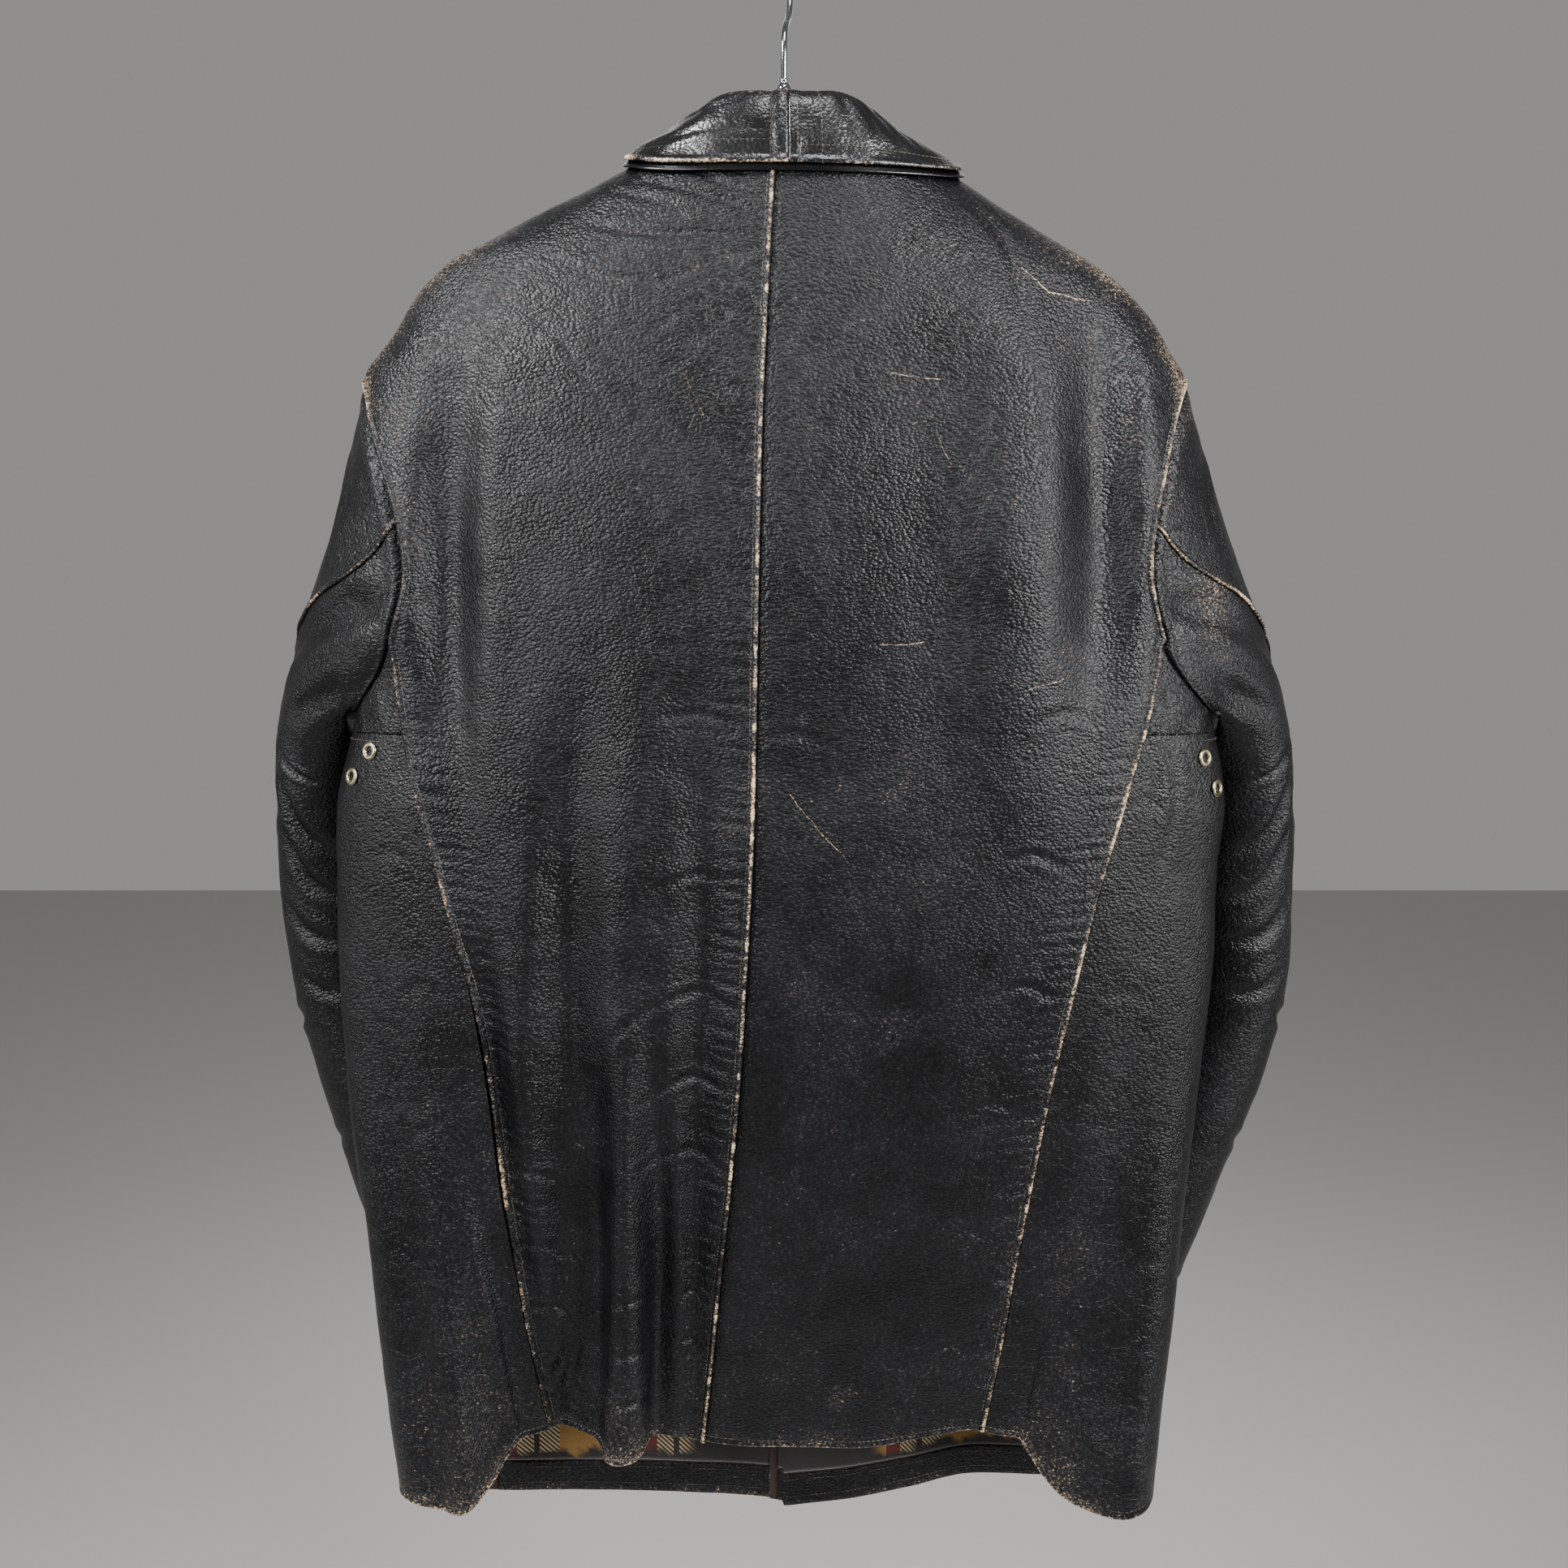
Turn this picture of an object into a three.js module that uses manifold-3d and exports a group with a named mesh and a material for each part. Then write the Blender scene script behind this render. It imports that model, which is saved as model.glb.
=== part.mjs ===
import * as THREE from 'three';
import { mergeVertices } from 'three/addons/utils/BufferGeometryUtils.js';
import Module from 'manifold-3d';

// A worn black leather coat on a hanger, seen from its back.
// Millimetres, +Z up. The origin is where a rail carries the hook, under the top of the hook's bend.
// The back of the coat faces -Y, and +X is the wearer's right.

const wasm = await Module();
wasm.setup();

// Driving dimensions
const LEATHER = 2.0;
const UNDER_COLLAR_LEATHER = 1.4;
const LINING = 1.0;
const SEAM_GAP = 0.3;
const HALF = 90;
const FULL = 180;
const DEGREE = Math.PI / FULL;

// Smooth curve through a list of [key, value] pairs, with the keys in rising or falling order.
function curveThrough(pairs) {
  const list = pairs[0][0] < pairs[pairs.length - 1][0] ? pairs : [...pairs].reverse();
  const last = list.length - 1;
  const slope = (i) => {
    const a = Math.max(i - 1, 0);
    const b = Math.min(i + 1, last);
    return (list[b][1] - list[a][1]) / (list[b][0] - list[a][0]);
  };
  return (key) => {
    if (key <= list[0][0]) return list[0][1];
    if (key >= list[last][0]) return list[last][1];
    let i = 0;
    while (list[i + 1][0] < key) i += 1;
    const span = list[i + 1][0] - list[i][0];
    const t = (key - list[i][0]) / span;
    const t2 = t * t;
    const t3 = t2 * t;
    return (2 * t3 - 3 * t2 + 1) * list[i][1] + (t3 - 2 * t2 + t) * span * slope(i)
      + (3 * t2 - 2 * t3) * list[i + 1][1] + (t3 - t2) * span * slope(i + 1);
  };
}

// The body of the coat is one tube of level rings round the hanger.
// A ring's angle runs from the centre back (0) over the wearer's right side (90) to the centre front (180).
const leftReach = curveThrough([[-125, 74], [-131, 86], [-139, 101], [-148, 119], [-162, 149], [-177, 177],
  [-191, 204], [-208, 223], [-232, 239], [-246, 250], [-259, 258], [-300, 260], [-400, 261],
  [-470, 270], [-523, 283], [-640, 284], [-701, 281], [-760, 275], [-800, 269], [-860, 264],
  [-920, 259], [-1000, 252]]);
const rightReach = curveThrough([[-125, 74], [-131, 88], [-141, 105], [-148, 117], [-162, 139], [-177, 163],
  [-193, 190], [-207, 209], [-225, 226], [-244, 238], [-259, 247], [-300, 250], [-400, 254],
  [-470, 270], [-523, 279], [-560, 276], [-631, 274], [-670, 271], [-749, 264], [-800, 259],
  [-852, 255], [-920, 248], [-1000, 242]]);
const sideY = curveThrough([[-125, 0], [-260, 0], [-420, -4], [-600, -8], [-800, -6], [-1000, 0]]);
const backY = curveThrough([[-125, -47], [-131, -50], [-147, -55], [-200, -64], [-260, -69], [-350, -73],
  [-450, -73], [-600, -67], [-750, -54], [-850, -44], [-945, -35], [-1000, -32]]);
const frontY = curveThrough([[-125, 42], [-213, 54], [-300, 68], [-450, 76], [-600, 74], [-800, 64],
  [-950, 54], [-1050, 50]]);
const backSquareness = curveThrough([[-125, 2.1], [-200, 2.3], [-300, 2.6], [-600, 2.7], [-950, 3.0]]);
const FRONT_SQUARENESS = 2.0;

// Large folds: the angle of each crest by height, its half-widths in degrees towards the centre back and
// away from it, and its height off the ring.
const FOLDS = [
  { at: curveThrough([[-700, -50], [-950, -45]]), inner: 4.5, outer: 9,
    height: curveThrough([[-640, 0], [-760, 5], [-850, 14], [-950, 22]]) },
  { at: curveThrough([[-600, -72], [-950, -64]]), inner: 12, outer: 16,
    height: curveThrough([[-560, 0], [-700, 5], [-820, 13], [-950, 20]]) },
  { at: curveThrough([[-700, -40], [-950, -34]]), inner: 6, outer: 5,
    height: curveThrough([[-640, 0], [-800, -6], [-950, -12]]) },
  { at: curveThrough([[-600, 66], [-950, 59]]), inner: 14, outer: 18,
    height: curveThrough([[-560, 0], [-700, 5], [-820, 13], [-950, 28]]) },
  { at: curveThrough([[-740, -12], [-950, -16]]), inner: 5, outer: 5,
    height: curveThrough([[-740, 0], [-830, 6], [-900, 16], [-950, 26]]) },
  { at: curveThrough([[-740, -20], [-950, -26]]), inner: 5, outer: 5,
    height: curveThrough([[-740, 0], [-850, -3], [-950, -7]]) },
  { at: curveThrough([[-740, -4], [-950, -7]]), inner: 4, outer: 4,
    height: curveThrough([[-740, 0], [-850, -2], [-950, -6]]) },
  { at: curveThrough([[-240, 48], [-430, 44]]), inner: 9, outer: 9,
    height: curveThrough([[-200, 0], [-270, -7], [-360, -8], [-470, 0]]) },
  { at: curveThrough([[-240, 29], [-430, 27]]), inner: 9, outer: 9,
    height: curveThrough([[-200, 0], [-270, 5], [-360, 5], [-520, 0]]) },
  { at: curveThrough([[-240, -50], [-470, -46]]), inner: 8, outer: 8,
    height: curveThrough([[-220, 0], [-300, -5], [-400, -7], [-520, 0]]) },
  { at: curveThrough([[-260, -66], [-420, -62]]), inner: 8, outer: 8,
    height: curveThrough([[-250, 0], [-300, 6], [-400, 9], [-440, 0]]) },
  { at: curveThrough([[-700, 36], [-950, 31]]), inner: 7, outer: 6,
    height: curveThrough([[-650, 0], [-800, -6], [-950, -12]]) },
];

function foldHeight(phi, z) {
  let sum = 0;
  for (const fold of FOLDS) {
    const beyond = Math.abs(phi) - Math.abs(fold.at(z));
    if (phi * fold.at(z) < 0) continue;
    const off = beyond / (beyond < 0 ? fold.inner : fold.outer);
    sum += fold.height(z) * Math.exp(-off * off);
  }
  return sum;
}

// The rows of the body panels, from the neck point to the hem, and the rows where its seams begin.
const ROWS = [-125, -134, -146, -160, -180, -203, -230, -259, -285, -315, -350, -385, -420, -450, -477,
  -522, -570, -618, -666, -714, -762, -806, -846, -882, -914, -945];
const ARM_TOP_ROW = 7;
const ARM_SIDE_ROW = 12;
const GUSSET_FOOT_ROW = 14;
const HEM_ROW = ROWS.length - 1;
const NECK_Z = ROWS[0];
const ARM_TOP_Z = ROWS[ARM_TOP_ROW];
const HEM_Z = ROWS[HEM_ROW];
const HEM_BLEND_Z = -640;

const neckline = curveThrough([[-180, -213], [-173, -206], [-167, -192], [-158, -170], [-143, -145],
  [-121, -130], [-90, -125], [-60, -127], [-36, -130], [-20, -134], [0, -137], [20, -134], [36, -130],
  [60, -127], [90, -125], [121, -130], [143, -145], [158, -170], [167, -192], [173, -206], [180, -213]]);
const hemline = curveThrough([[-180, -1039], [-163, -1031], [-148, -1026], [-126, -1018], [-108, -1006],
  [-90, -992], [-78, -985], [-66, -984], [-58, -987], [-53, -988], [-48, -987], [-43, -979], [-40, -969],
  [-38.5, -957], [-37, -948], [-31, -944], [-25, -938], [-21, -938], [-16, -943], [-11, -939], [-6, -945],
  [0, -947], [6, -947], [14, -939], [21, -936], [25, -940], [29, -942], [31, -947], [33, -957], [36, -971],
  [40, -982], [45, -988], [53, -990], [62, -988], [75, -985], [90, -992], [110, -1001], [132, -1009],
  [148, -1014], [158, -1026], [169, -1037], [180, -1043]]);

function wrapped(phi) {
  if (phi > FULL) return phi - 2 * FULL;
  if (phi < -FULL) return phi + 2 * FULL;
  return phi;
}

// Point of the body's middle surface, by ring angle and nominal height.
function bodyPoint(angle, level) {
  const phi = wrapped(angle);
  const up = THREE.MathUtils.smoothstep(level, ARM_TOP_Z, NECK_Z);
  const neck = (level - ARM_TOP_Z) / (NECK_Z - ARM_TOP_Z);
  const down = THREE.MathUtils.clamp((HEM_BLEND_Z - level) / (HEM_BLEND_Z - HEM_Z), 0, 1);
  let z = level;
  if (up > 0) z += (neckline(phi) - NECK_Z) * neck;
  z += (hemline(phi) - HEM_Z) * down * down;
  const a = Math.abs(phi) * DEGREE;
  const onBack = a <= Math.PI / 2;
  const reach = phi < 0 ? leftReach(z) : rightReach(z);
  const squareness = onBack ? backSquareness(z) : FRONT_SQUARENESS;
  const depth = onBack ? sideY(z) - backY(z) : frontY(z) - sideY(z);
  const sx = Math.sin(a) ** (2 / squareness);
  const sy = Math.abs(Math.cos(a)) ** (2 / squareness);
  const nx = sx ** (squareness - 1) / reach;
  const ny = sy ** (squareness - 1) / depth;
  const length = Math.hypot(nx, ny);
  const lift = foldHeight(phi, z) / length;
  const x = reach * sx + nx * lift;
  const y = depth * sy + ny * lift;
  return new THREE.Vector3(phi < 0 ? -x : x, sideY(z) + (onBack ? -y : y), z);
}

// Ring angle on the back or front half where the ring stands at a distance from the middle.
function angleAt(distance, z, side, onBack) {
  const reach = side < 0 ? leftReach(z) : rightReach(z);
  const squareness = onBack ? backSquareness(z) : FRONT_SQUARENESS;
  const ratio = Math.min(Math.abs(distance) / reach, 1);
  const a = Math.asin(ratio ** (squareness / 2)) / DEGREE;
  return side * (onBack ? a : FULL - a);
}

function normalOf(surface, u, v, du, dv) {
  const alongU = surface(u + du, v).sub(surface(u - du, v));
  const alongV = surface(u, v + dv).sub(surface(u, v - dv));
  return alongU.cross(alongV).normalize();
}

const ANGLE_STEP = 0.6;
const LEVEL_STEP = 0.8;
function bodyNormal(angle, level) {
  return normalOf(bodyPoint, angle, level, ANGLE_STEP, LEVEL_STEP);
}

// A wall of even thickness on a grid of points with normals, closed at its four edges.
// Every edge is drawn in by half the seam gap.
function wallGeometry(grid, thickness) {
  const inset = SEAM_GAP / 2;
  const rows = grid.length;
  const columns = grid[0].length;
  const middle = grid.map((row) => row.map((spot) => spot.p.clone()));
  for (let i = 0; i < rows; i += 1) {
    const first = middle[i][1].clone().sub(middle[i][0]).setLength(inset);
    const last = middle[i][columns - 2].clone().sub(middle[i][columns - 1]).setLength(inset);
    middle[i][0].add(first);
    middle[i][columns - 1].add(last);
  }
  for (let j = 0; j < columns; j += 1) {
    const first = middle[1][j].clone().sub(middle[0][j]).setLength(inset);
    const last = middle[rows - 2][j].clone().sub(middle[rows - 1][j]).setLength(inset);
    middle[0][j].add(first);
    middle[rows - 1][j].add(last);
  }
  const positions = [];
  const push = (p) => positions.push(p.x, p.y, p.z);
  for (const side of [1, -1]) {
    for (let i = 0; i < rows; i += 1) {
      for (let j = 0; j < columns; j += 1) {
        push(middle[i][j].clone().addScaledVector(grid[i][j].n, side * thickness / 2));
      }
    }
  }
  const at = (layer, i, j) => layer * rows * columns + i * columns + j;
  const index = [];
  const quad = (a, b, c, d) => index.push(a, b, c, a, c, d);
  for (let i = 0; i < rows - 1; i += 1) {
    for (let j = 0; j < columns - 1; j += 1) {
      quad(at(0, i, j), at(0, i + 1, j), at(0, i + 1, j + 1), at(0, i, j + 1));
      quad(at(1, i, j), at(1, i, j + 1), at(1, i + 1, j + 1), at(1, i + 1, j));
    }
    quad(at(0, i, 0), at(1, i, 0), at(1, i + 1, 0), at(0, i + 1, 0));
    quad(at(0, i, columns - 1), at(0, i + 1, columns - 1), at(1, i + 1, columns - 1), at(1, i, columns - 1));
  }
  for (let j = 0; j < columns - 1; j += 1) {
    quad(at(0, 0, j), at(0, 0, j + 1), at(1, 0, j + 1), at(1, 0, j));
    quad(at(0, rows - 1, j), at(1, rows - 1, j), at(1, rows - 1, j + 1), at(0, rows - 1, j + 1));
  }
  return closedGeometry(positions, index);
}

// A closed geometry with its faces pointing out, whichever way its points were listed.
function closedGeometry(positions, index) {
  let volume = 0;
  const a = new THREE.Vector3();
  const b = new THREE.Vector3();
  const c = new THREE.Vector3();
  for (let k = 0; k < index.length; k += 3) {
    a.fromArray(positions, 3 * index[k]);
    b.fromArray(positions, 3 * index[k + 1]);
    c.fromArray(positions, 3 * index[k + 2]);
    volume += a.dot(b.cross(c));
  }
  if (volume < 0) {
    for (let k = 0; k < index.length; k += 3) [index[k + 1], index[k + 2]] = [index[k + 2], index[k + 1]];
  }
  const geometry = new THREE.BufferGeometry();
  geometry.setAttribute('position', new THREE.Float32BufferAttribute(positions, 3));
  geometry.setIndex(index);
  geometry.computeVertexNormals();
  return geometry;
}

// Seams of the body, as distances from the middle by height.
const BACK_ARMHOLE = curveThrough([[-285, 0.955], [-315, 0.915], [-350, 0.885], [-385, 0.875], [-420, 0.89]]);
const FRONT_ARMHOLE = curveThrough([[-285, 0.93], [-315, 0.875], [-350, 0.85], [-385, 0.86], [-420, 0.9]]);
const SIDE_BACK_LEFT = curveThrough([[-420, 236], [-451, 234], [-500, 227], [-551, 214], [-598, 203],
  [-640, 194], [-702, 186], [-774, 180], [-837, 172], [-888, 165], [-945, 156]]);
const SIDE_BACK_RIGHT = curveThrough([[-420, 229], [-461, 222], [-514, 208], [-575, 192], [-626, 181],
  [-694, 168], [-761, 158], [-820, 149], [-869, 143], [-945, 131]]);
const SIDE_FRONT = curveThrough([[-420, 232], [-476, 226], [-600, 220], [-800, 212], [-945, 205]]);
const CENTRE_BACK = curveThrough([[-137, -4], [-207, -8], [-295, -12], [-424, -15], [-521, -17], [-570, -19],
  [-620, -22], [-671, -25], [-722, -29], [-775, -34], [-828, -40], [-881, -45], [-947, -52]]);

function sideBackAngle(side, level) {
  return angleAt((side < 0 ? SIDE_BACK_LEFT : SIDE_BACK_RIGHT)(level), level, side, true);
}

function sideFrontAngle(side, level) {
  return angleAt(SIDE_FRONT(level), level, side, false);
}

function backEdgeAngle(side, row) {
  const level = ROWS[row];
  if (row <= ARM_TOP_ROW) return side * HALF;
  if (row >= ARM_SIDE_ROW) return sideBackAngle(side, level);
  const reach = side < 0 ? leftReach(level) : rightReach(level);
  return angleAt(BACK_ARMHOLE(level) * reach, level, side, true);
}

function frontEdgeAngle(side, row) {
  const level = ROWS[row];
  if (row <= ARM_TOP_ROW) return side * HALF;
  if (row >= ARM_SIDE_ROW) return sideFrontAngle(side, level);
  const reach = side < 0 ? leftReach(level) : rightReach(level);
  return angleAt(FRONT_ARMHOLE(level) * reach, level, side, false);
}

// The neckline dips at the centre back, so the seam is read a little lower there.
const NECK_DIP = 6;
function centreBackAngle(level) {
  const z = level > ARM_TOP_Z ? level - NECK_DIP : level;
  return angleAt(CENTRE_BACK(z), z, -1, true);
}

function spotOnBody(angle, level, lift = 0) {
  const n = bodyNormal(angle, level);
  return { p: bodyPoint(angle, level).addScaledVector(n, lift), n };
}

const BACK_COLUMNS = 9;
function backPanel(side) {
  return ROWS.map((level, row) => {
    const from = centreBackAngle(level);
    const to = backEdgeAngle(side, row);
    return Array.from({ length: BACK_COLUMNS + 1 }, (_, j) =>
      spotOnBody(THREE.MathUtils.lerp(from, to, j / BACK_COLUMNS), level));
  });
}

// The fronts lap at the centre, the left one outside.
const FRONT_COLUMNS = 7;
const UNDERLAP = 11;
const OVERLAP = 17;
const LAP_START = 75;
const LAP_END = 25;
const LAP_LIFT = LEATHER + 2 * SEAM_GAP;

// Ring angle that lies a distance past the centre front, or short of it when the distance is negative.
function pastCentreAngle(side, distance, level) {
  const z = bodyPoint(FULL, level).z;
  const reach = side * distance > 0 ? leftReach(z) : rightReach(z);
  return side * (FULL + Math.asin(distance / reach) / DEGREE);
}

function frontAngles(side, level, edge) {
  const lap = pastCentreAngle(side, -LAP_END, level);
  const angles = Array.from({ length: FRONT_COLUMNS + 1 }, (_, j) =>
    THREE.MathUtils.lerp(edge, lap, j / FRONT_COLUMNS));
  angles.push(pastCentreAngle(side, side < 0 ? OVERLAP : UNDERLAP, level));
  return angles;
}

function frontSpot(side, angle, level, lift = 0) {
  const x = bodyPoint(angle, level).x;
  const lap = side < 0 ? LAP_LIFT * THREE.MathUtils.smoothstep(x, -LAP_START, -LAP_END) : 0;
  return spotOnBody(angle, level, lap + lift);
}

function frontPanel(side) {
  return ROWS.map((level, row) =>
    frontAngles(side, level, frontEdgeAngle(side, row)).map((angle) => frontSpot(side, angle, level)));
}

// The hem facing and the lining lie inside the fronts, only as high as they show under the back hem.
const FACING = 1.0;
const FACING_LEVELS = [-930, -944];
const LINING_LEVELS = [-866, -882, -914, -929];
function insideFront(side, levels, thickness) {
  const lift = -(LEATHER / 2 + 2 * SEAM_GAP + thickness / 2);
  return levels.map((level) => {
    const angles = frontAngles(side, level, sideFrontAngle(side, level));
    const last = angles.length - (side < 0 ? 1 : 0);
    return angles.slice(0, last).map((angle) => frontSpot(side, angle, level, lift));
  });
}

// Columns of the side panel, as shares of its width: even under the arm, and close at the hem's fold.
const SIDE_COLUMNS = 6;
const HEM_SHARES = [0, 0.07, 0.1, 0.17, 0.3, 0.56, 1];
function sidePanel(side) {
  const top = ROWS[GUSSET_FOOT_ROW];
  return ROWS.slice(GUSSET_FOOT_ROW).map((level) => {
    const from = sideBackAngle(side, level);
    const to = sideFrontAngle(side, level);
    const low = (top - level) / (top - HEM_Z);
    return HEM_SHARES.map((share, j) => {
      const mixed = THREE.MathUtils.lerp(j / SIDE_COLUMNS, share, low);
      return spotOnBody(THREE.MathUtils.lerp(from, to, mixed), level);
    });
  });
}

// The gusset fills the underarm, between the foot of the armhole and a level seam.
const ARMHOLE_DROP = 44;
const ARMHOLE_ROUNDNESS = 0.8;
const GUSSET_ROWS = 2;
function gussetSpot(side, u, v) {
  const top = ROWS[ARM_SIDE_ROW] - ARMHOLE_DROP * Math.sin(u * Math.PI) ** ARMHOLE_ROUNDNESS;
  const level = THREE.MathUtils.lerp(top, ROWS[GUSSET_FOOT_ROW], v);
  const angle = THREE.MathUtils.lerp(sideBackAngle(side, level), sideFrontAngle(side, level), u);
  return spotOnBody(angle, level);
}

function gussetPanel(side) {
  return Array.from({ length: GUSSET_ROWS + 1 }, (_, i) =>
    Array.from({ length: SIDE_COLUMNS + 1 }, (__, j) => gussetSpot(side, j / SIDE_COLUMNS, i / GUSSET_ROWS)));
}

// The armhole's rim, point by point: the top, down the back, under the arm and up the front.
function armholeRim(side) {
  const rim = [];
  for (let row = ARM_TOP_ROW; row <= ARM_SIDE_ROW; row += 1) {
    rim.push(spotOnBody(backEdgeAngle(side, row), ROWS[row]));
  }
  for (let j = 1; j < SIDE_COLUMNS; j += 1) rim.push(gussetSpot(side, j / SIDE_COLUMNS, 0));
  for (let row = ARM_SIDE_ROW; row > ARM_TOP_ROW; row -= 1) {
    rim.push(spotOnBody(frontEdgeAngle(side, row), ROWS[row]));
  }
  return rim;
}

// The sleeve leaves the rim, turns down and hangs beside the front corner of the body.
// Its rings are level ovals: centre, half-length, half-width and turn by height, for the wearer's right.
const SLEEVE_TURN_Z = -520;
const CUFF_Z = -872;
const sleeveX = curveThrough([[-520, 293], [-570, 296], [-640, 295], [-710, 285], [-780, 268], [-872, 244]]);
const sleeveY = curveThrough([[-520, 68], [-570, 78], [-640, 86], [-710, 91], [-780, 93], [-872, 92]]);
const sleeveLong = curveThrough([[-520, 66], [-570, 64], [-640, 62], [-780, 58], [-872, 54]]);
const sleeveShort = curveThrough([[-520, 39], [-570, 44], [-640, 45], [-780, 42], [-872, 38]]);
const rightElbowOut = curveThrough([[-520, 1], [-600, 4], [-660, 9], [-720, 9], [-800, 4], [-872, 0]]);
const SLEEVE_TURN = 24 * DEGREE;
const RIM_POINTS = 16;
const SLEEVE_SETBACK = 0.72;
// How far the sleeve points straight out where it leaves the rim, at the shoulder and under the arm.
const OUTWARD_AT_TOP = 0.04;
const OUTWARD_UNDER = 0.84;
const HANG_OUT = 0.02;
const HANG_FORWARD = 0.15;
const RIM_STEP = 0.1;
const SLEEVE_STEP = 0.01;

function sleeveOval(side, k, z) {
  const t = 2 * Math.PI * k / RIM_POINTS;
  const outward = Math.cos(t) * sleeveShort(z);
  const backward = Math.sin(t) * sleeveLong(z);
  const elbow = side < 0 ? 0 : rightElbowOut(z);
  const x = sleeveX(z) + elbow + outward * Math.cos(SLEEVE_TURN) + backward * Math.sin(SLEEVE_TURN);
  const y = sleeveY(z) + outward * Math.sin(SLEEVE_TURN) - backward * Math.cos(SLEEVE_TURN);
  return new THREE.Vector3(side * x, y, z);
}

function makeSleeve(side) {
  const rim = armholeRim(side);
  const rimAt = (k) => {
    const base = Math.floor(k);
    const t = k - base;
    const near = (step) => rim[((base + step) % RIM_POINTS + RIM_POINTS) % RIM_POINTS].p;
    const [a, b, c, d] = [near(-1), near(0), near(1), near(2)];
    const out = new THREE.Vector3();
    for (const axis of ['x', 'y', 'z']) {
      out[axis] = 0.5 * (2 * b[axis] + (c[axis] - a[axis]) * t
        + (2 * a[axis] - 5 * b[axis] + 4 * c[axis] - d[axis]) * t * t
        + (3 * b[axis] - a[axis] - 3 * c[axis] + d[axis]) * t * t * t);
    }
    return out;
  };
  const leaving = (k) => {
    const way = sleeveOval(side, k, SLEEVE_TURN_Z).sub(rimAt(k)).normalize();
    const under = (1 - Math.cos(2 * Math.PI * k / RIM_POINTS)) / 2;
    const share = THREE.MathUtils.lerp(OUTWARD_AT_TOP, OUTWARD_UNDER, under);
    return way.lerp(new THREE.Vector3(side, 0, 0), share).normalize();
  };
  // The first stretch bends from the rim into the first oval, and the rest follows the ovals.
  const point = (k, w) => {
    if (w >= 1) return sleeveOval(side, k, SLEEVE_TURN_Z + (w - 1) * (CUFF_Z - SLEEVE_TURN_Z));
    const start = rimAt(k);
    const end = sleeveOval(side, k, SLEEVE_TURN_Z);
    const reach = start.distanceTo(end);
    const t2 = w * w;
    const t3 = t2 * w;
    return start.multiplyScalar(2 * t3 - 3 * t2 + 1)
      .addScaledVector(leaving(k), (t3 - 2 * t2 + w) * reach)
      .addScaledVector(end, 3 * t2 - 2 * t3)
      .addScaledVector(new THREE.Vector3(HANG_OUT * side, HANG_FORWARD, -1), (t3 - t2) * reach);
  };
  const normal = (k, w) => {
    const alongK = point(k + RIM_STEP, w).sub(point(k - RIM_STEP, w));
    const alongW = point(k, w + SLEEVE_STEP).sub(point(k, Math.max(w - SLEEVE_STEP, 0)));
    return alongK.cross(alongW).normalize().multiplyScalar(side);
  };
  return { rim, point, normal, leaving };
}

const SLEEVE_ROWS = [0, 0.12, 0.26, 0.4, 0.55, 0.7, 0.85, 1, 1.13, 1.26, 1.4, 1.55, 1.7, 1.85, 2];
// Where the sleeve's two seams run, as places on the rim, from the armhole (0) to the cuff (2).
const backSeamAt = curveThrough([[0, 3], [0.12, 3.1], [0.26, 2.85], [0.4, 2.25], [0.6, 1.4], [0.8, 0.4],
  [1, -0.4], [2, -1.5]]);
const frontSeamAt = curveThrough([[0, 12], [0.5, 10.8], [1, 9.4], [2, 8.6]]);

const UPPER_COLUMNS = 7;
const UNDER_COLUMNS = 9;
function sleevePiece(side, upper) {
  const sleeve = makeSleeve(side);
  const columns = upper ? UPPER_COLUMNS : UNDER_COLUMNS;
  return SLEEVE_ROWS.map((w) => {
    const from = upper ? frontSeamAt(w) : backSeamAt(w);
    const to = upper ? backSeamAt(w) + RIM_POINTS : frontSeamAt(w);
    return Array.from({ length: columns + 1 }, (_, j) => {
      const k = THREE.MathUtils.lerp(from, to, j / columns);
      const n = sleeve.normal(k, w);
      const p = sleeve.point(k, w);
      if (w === 0) {
        const body = sleeve.rim[Math.round(k) % RIM_POINTS].n;
        const turn = Math.acos(THREE.MathUtils.clamp(body.dot(n), -1, 1));
        p.addScaledVector(sleeve.leaving(k), Math.tan(turn / 2) * LEATHER / 2 + SLEEVE_SETBACK);
      }
      return { p, n };
    });
  });
}

// Collar: it stands up from the neckline, rolls over and falls on the shoulders.
const COLLAR_END = 172;
const standHeight = curveThrough([[0, 31], [15, 29.5], [25, 25.5], [36, 18], [60, 10], [90, 9.5], [115, 13],
  [140, 19], [172, 19]]);
const standInset = curveThrough([[0, 0], [90, 0.3], [120, 1.6], [150, 2.4], [172, 2.2]]);
const standLean = curveThrough([[0, 4], [90, 9], [172, 5]]);
const edgeAngle = curveThrough([[0, 0], [45, 43], [90, 90], [135, 138], [150, 153], [165, 162], [172, 166]]);
const leftEdgeLevel = curveThrough([[0, -147], [36, -146], [60, -141], [90, -134], [120, -147], [135, -165],
  [150, -198], [160, -226], [172, -238]]);
const rightEdgeLevel = curveThrough([[0, -147], [36, -148], [60, -147], [90, -140], [120, -150], [135, -168],
  [150, -200], [160, -226], [172, -238]]);
const ROLL = 4.5;
const STAND_LIFT = LEATHER / 2 + 2 * SEAM_GAP;
const COLLAR_EASE = 1.4;
const COLLAR_BOW = 1.5;
const COLLAR_CLEARANCE = LEATHER + UNDER_COLLAR_LEATHER + 2 * SEAM_GAP + COLLAR_EASE;
const COLLAR_LAP_START = 100;
const COLLAR_LAP_END = 140;

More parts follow.
